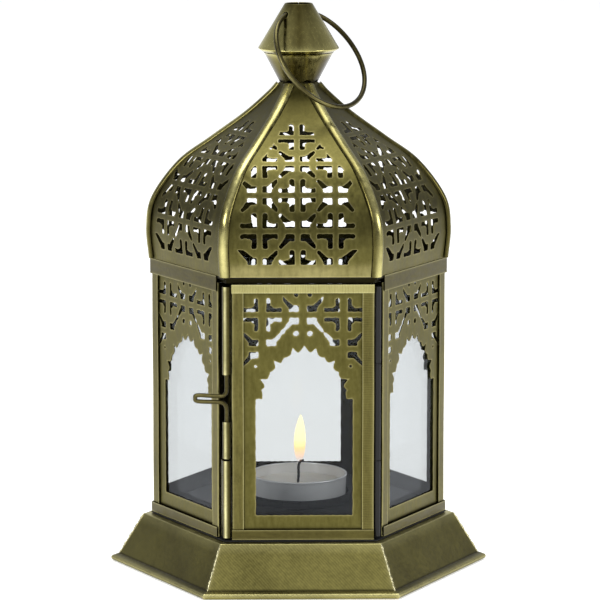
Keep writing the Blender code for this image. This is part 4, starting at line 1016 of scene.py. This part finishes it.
# Darkened brass wire: brown-olive, with only a faint line of bare metal along its outside.
WIRE_BRASS = aged_brass("darkened_brass_wire", "#2B2716", "#565030", "#B4AB72", 0.32, (30, 30, 30))
hole_radius = TOP_RADIUS + 4.2 * MM * (RIM_RADIUS - TOP_RADIUS) / (FINIAL_TOP - RIM) - CONE_WALL / 2
drop = math.sqrt(RING_RADIUS**2 - hole_radius**2)
angle = np.linspace(0, 2 * math.pi, 160, endpoint=False)
falling = np.array([0, math.cos(RING_REST), -math.sin(RING_REST)])
radial = np.cos(angle)[:, None] * [1, 0, 0] + np.sin(angle)[:, None] * falling
normal = [0, math.sin(RING_REST), math.cos(RING_REST)]
middle = drop * falling
wander = 1 + 0.004 * np.sin(2 * angle + 0.6) + 0.002 * np.sin(5 * angle)
around = np.linspace(0, 2 * math.pi, WIRE_SIDES, endpoint=False)
wire_section = np.stack([np.cos(around), np.sin(around)], axis=1)
stations = middle + radial * RING_RADIUS * wander[:, None]
points, groups = carried(wire_section * RING_WIRE, stations, radial, normal, True)
points = turn_about_z(points, RING_AXIS) + [0, 0, RING_HEIGHT]
# A faint line of bare metal along the ring's outside; painted shade along its inside.
wear = 0.6 * np.outer(0.35 + 0.25 * np.sin(7 * angle), np.clip(np.cos(around), 0, 1)).ravel()
shade = np.tile(0.6 * np.clip(-np.cos(around), 0, 1), len(angle))
new_piece("ring_wire", points, groups, WIRE_BRASS, "ring", "antique_brass", ["hanging_ring"], wear, 60,
          shade)


# Latch: two barrels rolled from strip on the door's edge carry a bent wire bolt, and a third on the post
# keeps its lower end. The wire's U is the handle. The barrels carry a painted highlight down their fronts
# and painted shade round the rest.

# Latch brass: olive, with a painted highlight down the front of each barrel and painted shade on the rest of
# it.
LATCH_BRASS = aged_brass("latch_brass_with_painted_highlight", "#3A351C", "#6B6436", "#E6DFA6", 0.2, (20, 20, 4))
BARREL = 1.6 * MM
BARREL_SHEET = 0.45 * MM
upper_low, upper_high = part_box("latch_barrel_top")
mid_low, mid_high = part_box("latch_barrel_mid")
LATCH = np.array([(upper_low[0] + upper_high[0]) / 2, (upper_low[1] + upper_high[1]) / 2])


def barrel(name, low, high, seam, body, node, tail=None):
    """A strip rolled into a tube about the latch's line, open by a hair along its seam, with its tail, if it
    has one, running straight off along a tangent."""
    if tail is None:
        angle = seam + np.linspace(0.12, 2 * math.pi - 0.12, 40)
        line = LATCH + BARREL * np.stack([np.cos(angle), np.sin(angle)], axis=1)
    else:
        away = np.asarray(tail) - LATCH
        start = math.atan2(away[1], away[0]) + math.acos(BARREL / np.linalg.norm(away))
        angle = start + np.linspace(0, 2 * math.pi - 0.5, 40)
        line = np.vstack([tail, LATCH + BARREL * np.stack([np.cos(angle), np.sin(angle)], axis=1)])
    back = line + direction(line)[:, ::-1] * [-1, 1] * BARREL_SHEET
    section = np.concatenate([line, back[::-1]])
    rise = np.linspace(low, high, 16)
    stations = np.stack([0 * rise, 0 * rise, rise], axis=1)
    points, groups = carried(section, stations, [1.0, 0, 0], [0, 1.0, 0])
    ends = np.exp(-np.minimum(rise - low, high - rise) / (0.6 * MM))
    # Painted highlight: a narrow bright line down the front, turned a little to the left, stronger on the
    # keeper and at the ends. Painted shade: the sides and the inside of each barrel.
    front = np.clip((0.93 * (LATCH[1] - line[:, 1]) + 0.37 * (LATCH[0] - line[:, 0])) / BARREL, 0, 1)
    lit = np.clip((0.55 if tail is None else 0.9) + 0.15 * np.sin(rise / (4 * MM)) + 0.4 * ends, 0, 1)
    wear = np.outer(lit, np.concatenate([front**16, np.zeros(len(back))]))
    soot = np.tile(np.concatenate([0.95 * (1 - front**2) ** 0.9, np.full(len(back), 0.9)]), 16)
    new_piece(name, points, groups, LATCH_BRASS, body, "worn_brass", [node], wear.ravel(), 40, soot)


keeper_low, keeper_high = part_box("latch_keeper")
keeper_tail = on_wall(5, STRIP_FACE - 0.8 * MM, SIDE_EDGE + 0.15 * MM)
barrel("upper_barrel", upper_low[2], upper_high[2], 0.9, "door", "latch_barrel_top")
barrel("middle_barrel", mid_low[2], mid_high[2], 0.6, "door", "latch_barrel_mid")
barrel("keeper_barrel", keeper_low[2], keeper_high[2], 0.0, "lantern", "latch_keeper", keeper_tail)

LATCH_WIRE = 0.8 * MM
HANDLE_REACH = 12.2 * MM
HANDLE_BACK = math.radians(14)
ARM, BEND = 1.15 * MM, 2.6 * MM
wire_low, wire_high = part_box("latch_wire")
middle = mid_high[2] + 0.47 * (upper_low[2] - mid_high[2])
knots = np.array([
    (0, wire_low[2]), (0, middle - 8.0 * MM), (0, middle - ARM - BEND), (BEND / 4, middle - ARM - BEND / 3),
    (BEND, middle - ARM), (HANDLE_REACH - ARM, middle - ARM), (HANDLE_REACH, middle),
    (HANDLE_REACH - ARM, middle + ARM), (BEND, middle + ARM), (BEND / 4, middle + ARM + BEND / 3),
    (0, middle + ARM + BEND), (0, middle + 8.0 * MM), (0, wire_high[2]),
])
bent = through(knots, 9)
way = direction(bent)
side_way = np.array([-math.cos(HANDLE_BACK), math.sin(HANDLE_BACK), 0])
square = np.array([math.sin(HANDLE_BACK), math.cos(HANDLE_BACK), 0])
stations = np.array([*LATCH, 0]) + bent[:, :1] * side_way + bent[:, 1:] * [0, 0, 1]
aside = -way[:, 1:] * side_way + way[:, :1] * [0, 0, 1.0]
points, groups = carried(wire_section * LATCH_WIRE, stations, square, aside)
outward = np.repeat(np.clip(bent[:, 0] / HANDLE_REACH, 0, 1), WIRE_SIDES)
# The bolt is almost all painted shade, heaviest on one side, with a faint worn brightness towards the
# handle's end.
new_piece("latch_bolt", points, groups, WIRE_BRASS, "latch", "worn_brass", ["latch_wire"],
          0.02 + 0.1 * outward, 60, np.tile(0.8 * np.clip(0.6 + 0.5 * np.cos(around), 0, 1), len(bent)))


# Tealight: a cup drawn from thin aluminium with a rolled rim, white paraffin that climbs its wall a little,
# a braided wick that has charred and curled over, and its flame.

(_, _, CUP_LOW), (CUP, _, CUP_TOP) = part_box("tealight_cup")
WAX_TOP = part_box("tealight_wax")[1][2]
ROLL = 0.42 * MM


def principled(name, colour, roughness, metallic, noise, patch, depth, inputs=None):
    """One finish whose colour and height vary by a noise with patches of so many millimetres: the colour is
    multiplied by one less the noise's share."""
    values = {"Roughness": roughness, "Metallic": metallic, **(inputs or {})}
    material, tree = new_material(name, values)
    place = add_node(tree, "TexCoord").outputs["Object"]
    grain = add_node(tree, "TexNoise", {"Vector": place, "Scale": 1 / (patch * MM), "Detail": 4.0})
    dull = (*(share * (1 - noise) for share in linear(colour)[:3]), 1)
    tint = add_node(tree, "Mix", {"Factor": grain, "A": linear(colour), "B": dull}, data_type="RGBA")
    bump = add_node(tree, "Bump", {"Height": grain, "Strength": 0.4, "Distance": depth * MM})
    feed(tree, tree.nodes["Principled BSDF"], {"Base Color": tint, "Normal": bump})
    return material


# Drawn aluminium foil: soft grey-white, half a mirror. White paraffin wax: milky, as light soaks into it.
# Charred cotton: black and fuzzy.
FOIL = principled("drawn_aluminium_foil", "#FAFAFB", 0.26, 0.3, 0.04, 6.6667, 0.004)
milky = {"Subsurface Weight": 0.25, "Subsurface Radius": (0.004, 0.003, 0.002)}
WAX = principled("white_paraffin_wax", "#E8E6E0", 0.42, 0.0, 0.08, 8.3333, 0.15, milky)
CHAR = principled("charred_cotton_braid", "#171410", 0.9, 0.0, 0.5, 0.4, 0.1)

rim_angle = np.linspace(math.radians(-60), math.radians(240), 12)
rim = [CUP - 0.45 * MM, CUP_TOP - ROLL] + ROLL * np.stack([np.cos(rim_angle), np.sin(rim_angle)], axis=1)
cup_profile = np.concatenate([
    [(0, CUP_LOW), (CUP - 1.6 * MM, CUP_LOW), (CUP - 1.0 * MM, CUP_LOW + 0.15 * MM)],
    [(CUP - 0.75 * MM, CUP_LOW + 0.7 * MM)],
    np.linspace((CUP - 0.7 * MM, CUP_LOW + 1.5 * MM), (CUP - 0.35 * MM, CUP_TOP - 1.4 * MM), 8), rim,
    [(CUP - 0.75 * MM, CUP_LOW + 5.0 * MM), (CUP - 1.0 * MM, CUP_LOW + 0.4 * MM), (0, CUP_LOW + 0.4 * MM)],
])
points, groups = turned(cup_profile, 128, 0.0)
welded(new_piece("foil_cup", points, groups, FOIL, "tealight", "candle_cup_aluminium", ["tealight_cup"]))
share = np.linspace(0, 1, 26)
wax_radius = CUP - 0.85 * MM
wax_rise = WAX_TOP - 0.9 * MM + 0.9 * MM * share**14 - 0.35 * MM * np.exp(-((share * 9) ** 2))
wax_rise = wax_rise + 0.08 * MM * np.sin(17 * share) * share
wax_profile = np.concatenate([
    np.stack([share * wax_radius, wax_rise], axis=1)[::-1],
    [(0, CUP_LOW + 0.8 * MM), (wax_radius, CUP_LOW + 0.8 * MM)],
])
points, groups = turned(wax_profile, 96)
welded(new_piece("paraffin", points, groups, WAX, "tealight", "candle_wax", ["tealight_wax"], crease=50))

WICK_LOW, WICK_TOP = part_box("tealight_wick")[0][2] - 0.9 * MM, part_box("tealight_wick")[1][2] - 0.55 * MM
WICK = 0.5 * MM
tall = WICK_TOP - WICK_LOW
wick_line = through([(-0.0003, 0, WICK_LOW), (0, 0, WICK_LOW + 0.4 * tall), (0, 0, WICK_LOW + 0.75 * tall),
                     (0.0007, 0, WICK_LOW + 0.95 * tall), (0.0021, 0, WICK_TOP)], 16)
aside = np.cross(direction(wick_line), [0, 1.0, 0])
points, groups = carried(wire_section * WICK, wick_line, [0, 1.0, 0], aside)
twist = (0.85 * np.arange(len(wick_line))[:, None] + 2 * around).ravel()
centre = np.repeat(wick_line, WIRE_SIDES, axis=0)
points = centre + (points - centre) * (1 + 0.16 * np.sin(twist))[:, None]
new_piece("braided_wick", points, groups, CHAR, "tealight", "charred_wick", ["tealight_wick"], crease=60)


def candle_flame():
    """Glowing gas: a pale yellow heart that fades to clear peach at its foot, by height alone."""
    material, tree = new_material("candle_flame_glow")
    tree.nodes.clear()
    where = add_node(tree, "SeparateXYZ", {"Vector": add_node(tree, "TexCoord").outputs["Object"]})
    height = where.outputs["Z"]
    rise = add_node(tree, "MapRange", {"Value": height, "From Min": FLAME_LOW, "From Max": FLAME_TOP})
    colour = add_node(tree, "ValToRGB", {"Fac": rise})
    stops = colour.color_ramp.elements
    stops[0].color = linear("#DD9C74")
    stops[1].color = linear("#FFE8AC")
    stops.new(0.3).color = linear("#F2BC78")
    stops.new(0.5).color = linear("#FFE4A0")
    solid = add_node(tree, "MapRange", {"Value": rise, "From Min": 0.02, "From Max": 0.5, "To Max": 0.96})
    glow = add_node(tree, "Emission", {"Color": colour, "Strength": 2.4})
    both = add_node(tree, "MixShader", {0: solid, 1: add_node(tree, "BsdfTransparent"), 2: glow})
    add_node(tree, "OutputMaterial", {"Surface": both})
    return material


FLAME_LOW, FLAME_TOP = WICK_TOP - 1.0 * MM, WICK_TOP + 18.2 * MM
share = np.linspace(0.0, 1, 40)
swell = share**0.6 * (1 - share) ** 0.8
FLAME_RADIUS = 2.25 * MM
flame_rise = FLAME_LOW + share * (FLAME_TOP - FLAME_LOW)
flame_profile = np.stack([FLAME_RADIUS * swell / swell.max(), flame_rise], axis=1)
points, groups = turned(np.concatenate([flame_profile, [(0, (FLAME_LOW + FLAME_TOP) / 2)]]), 40)
points[:, 0] += 0.35 * MM + 0.5 * MM * ((points[:, 2] - FLAME_LOW) / (FLAME_TOP - FLAME_LOW)) ** 2
welded(new_piece("flame", points, groups, candle_flame(), "tealight", None, crease=80))
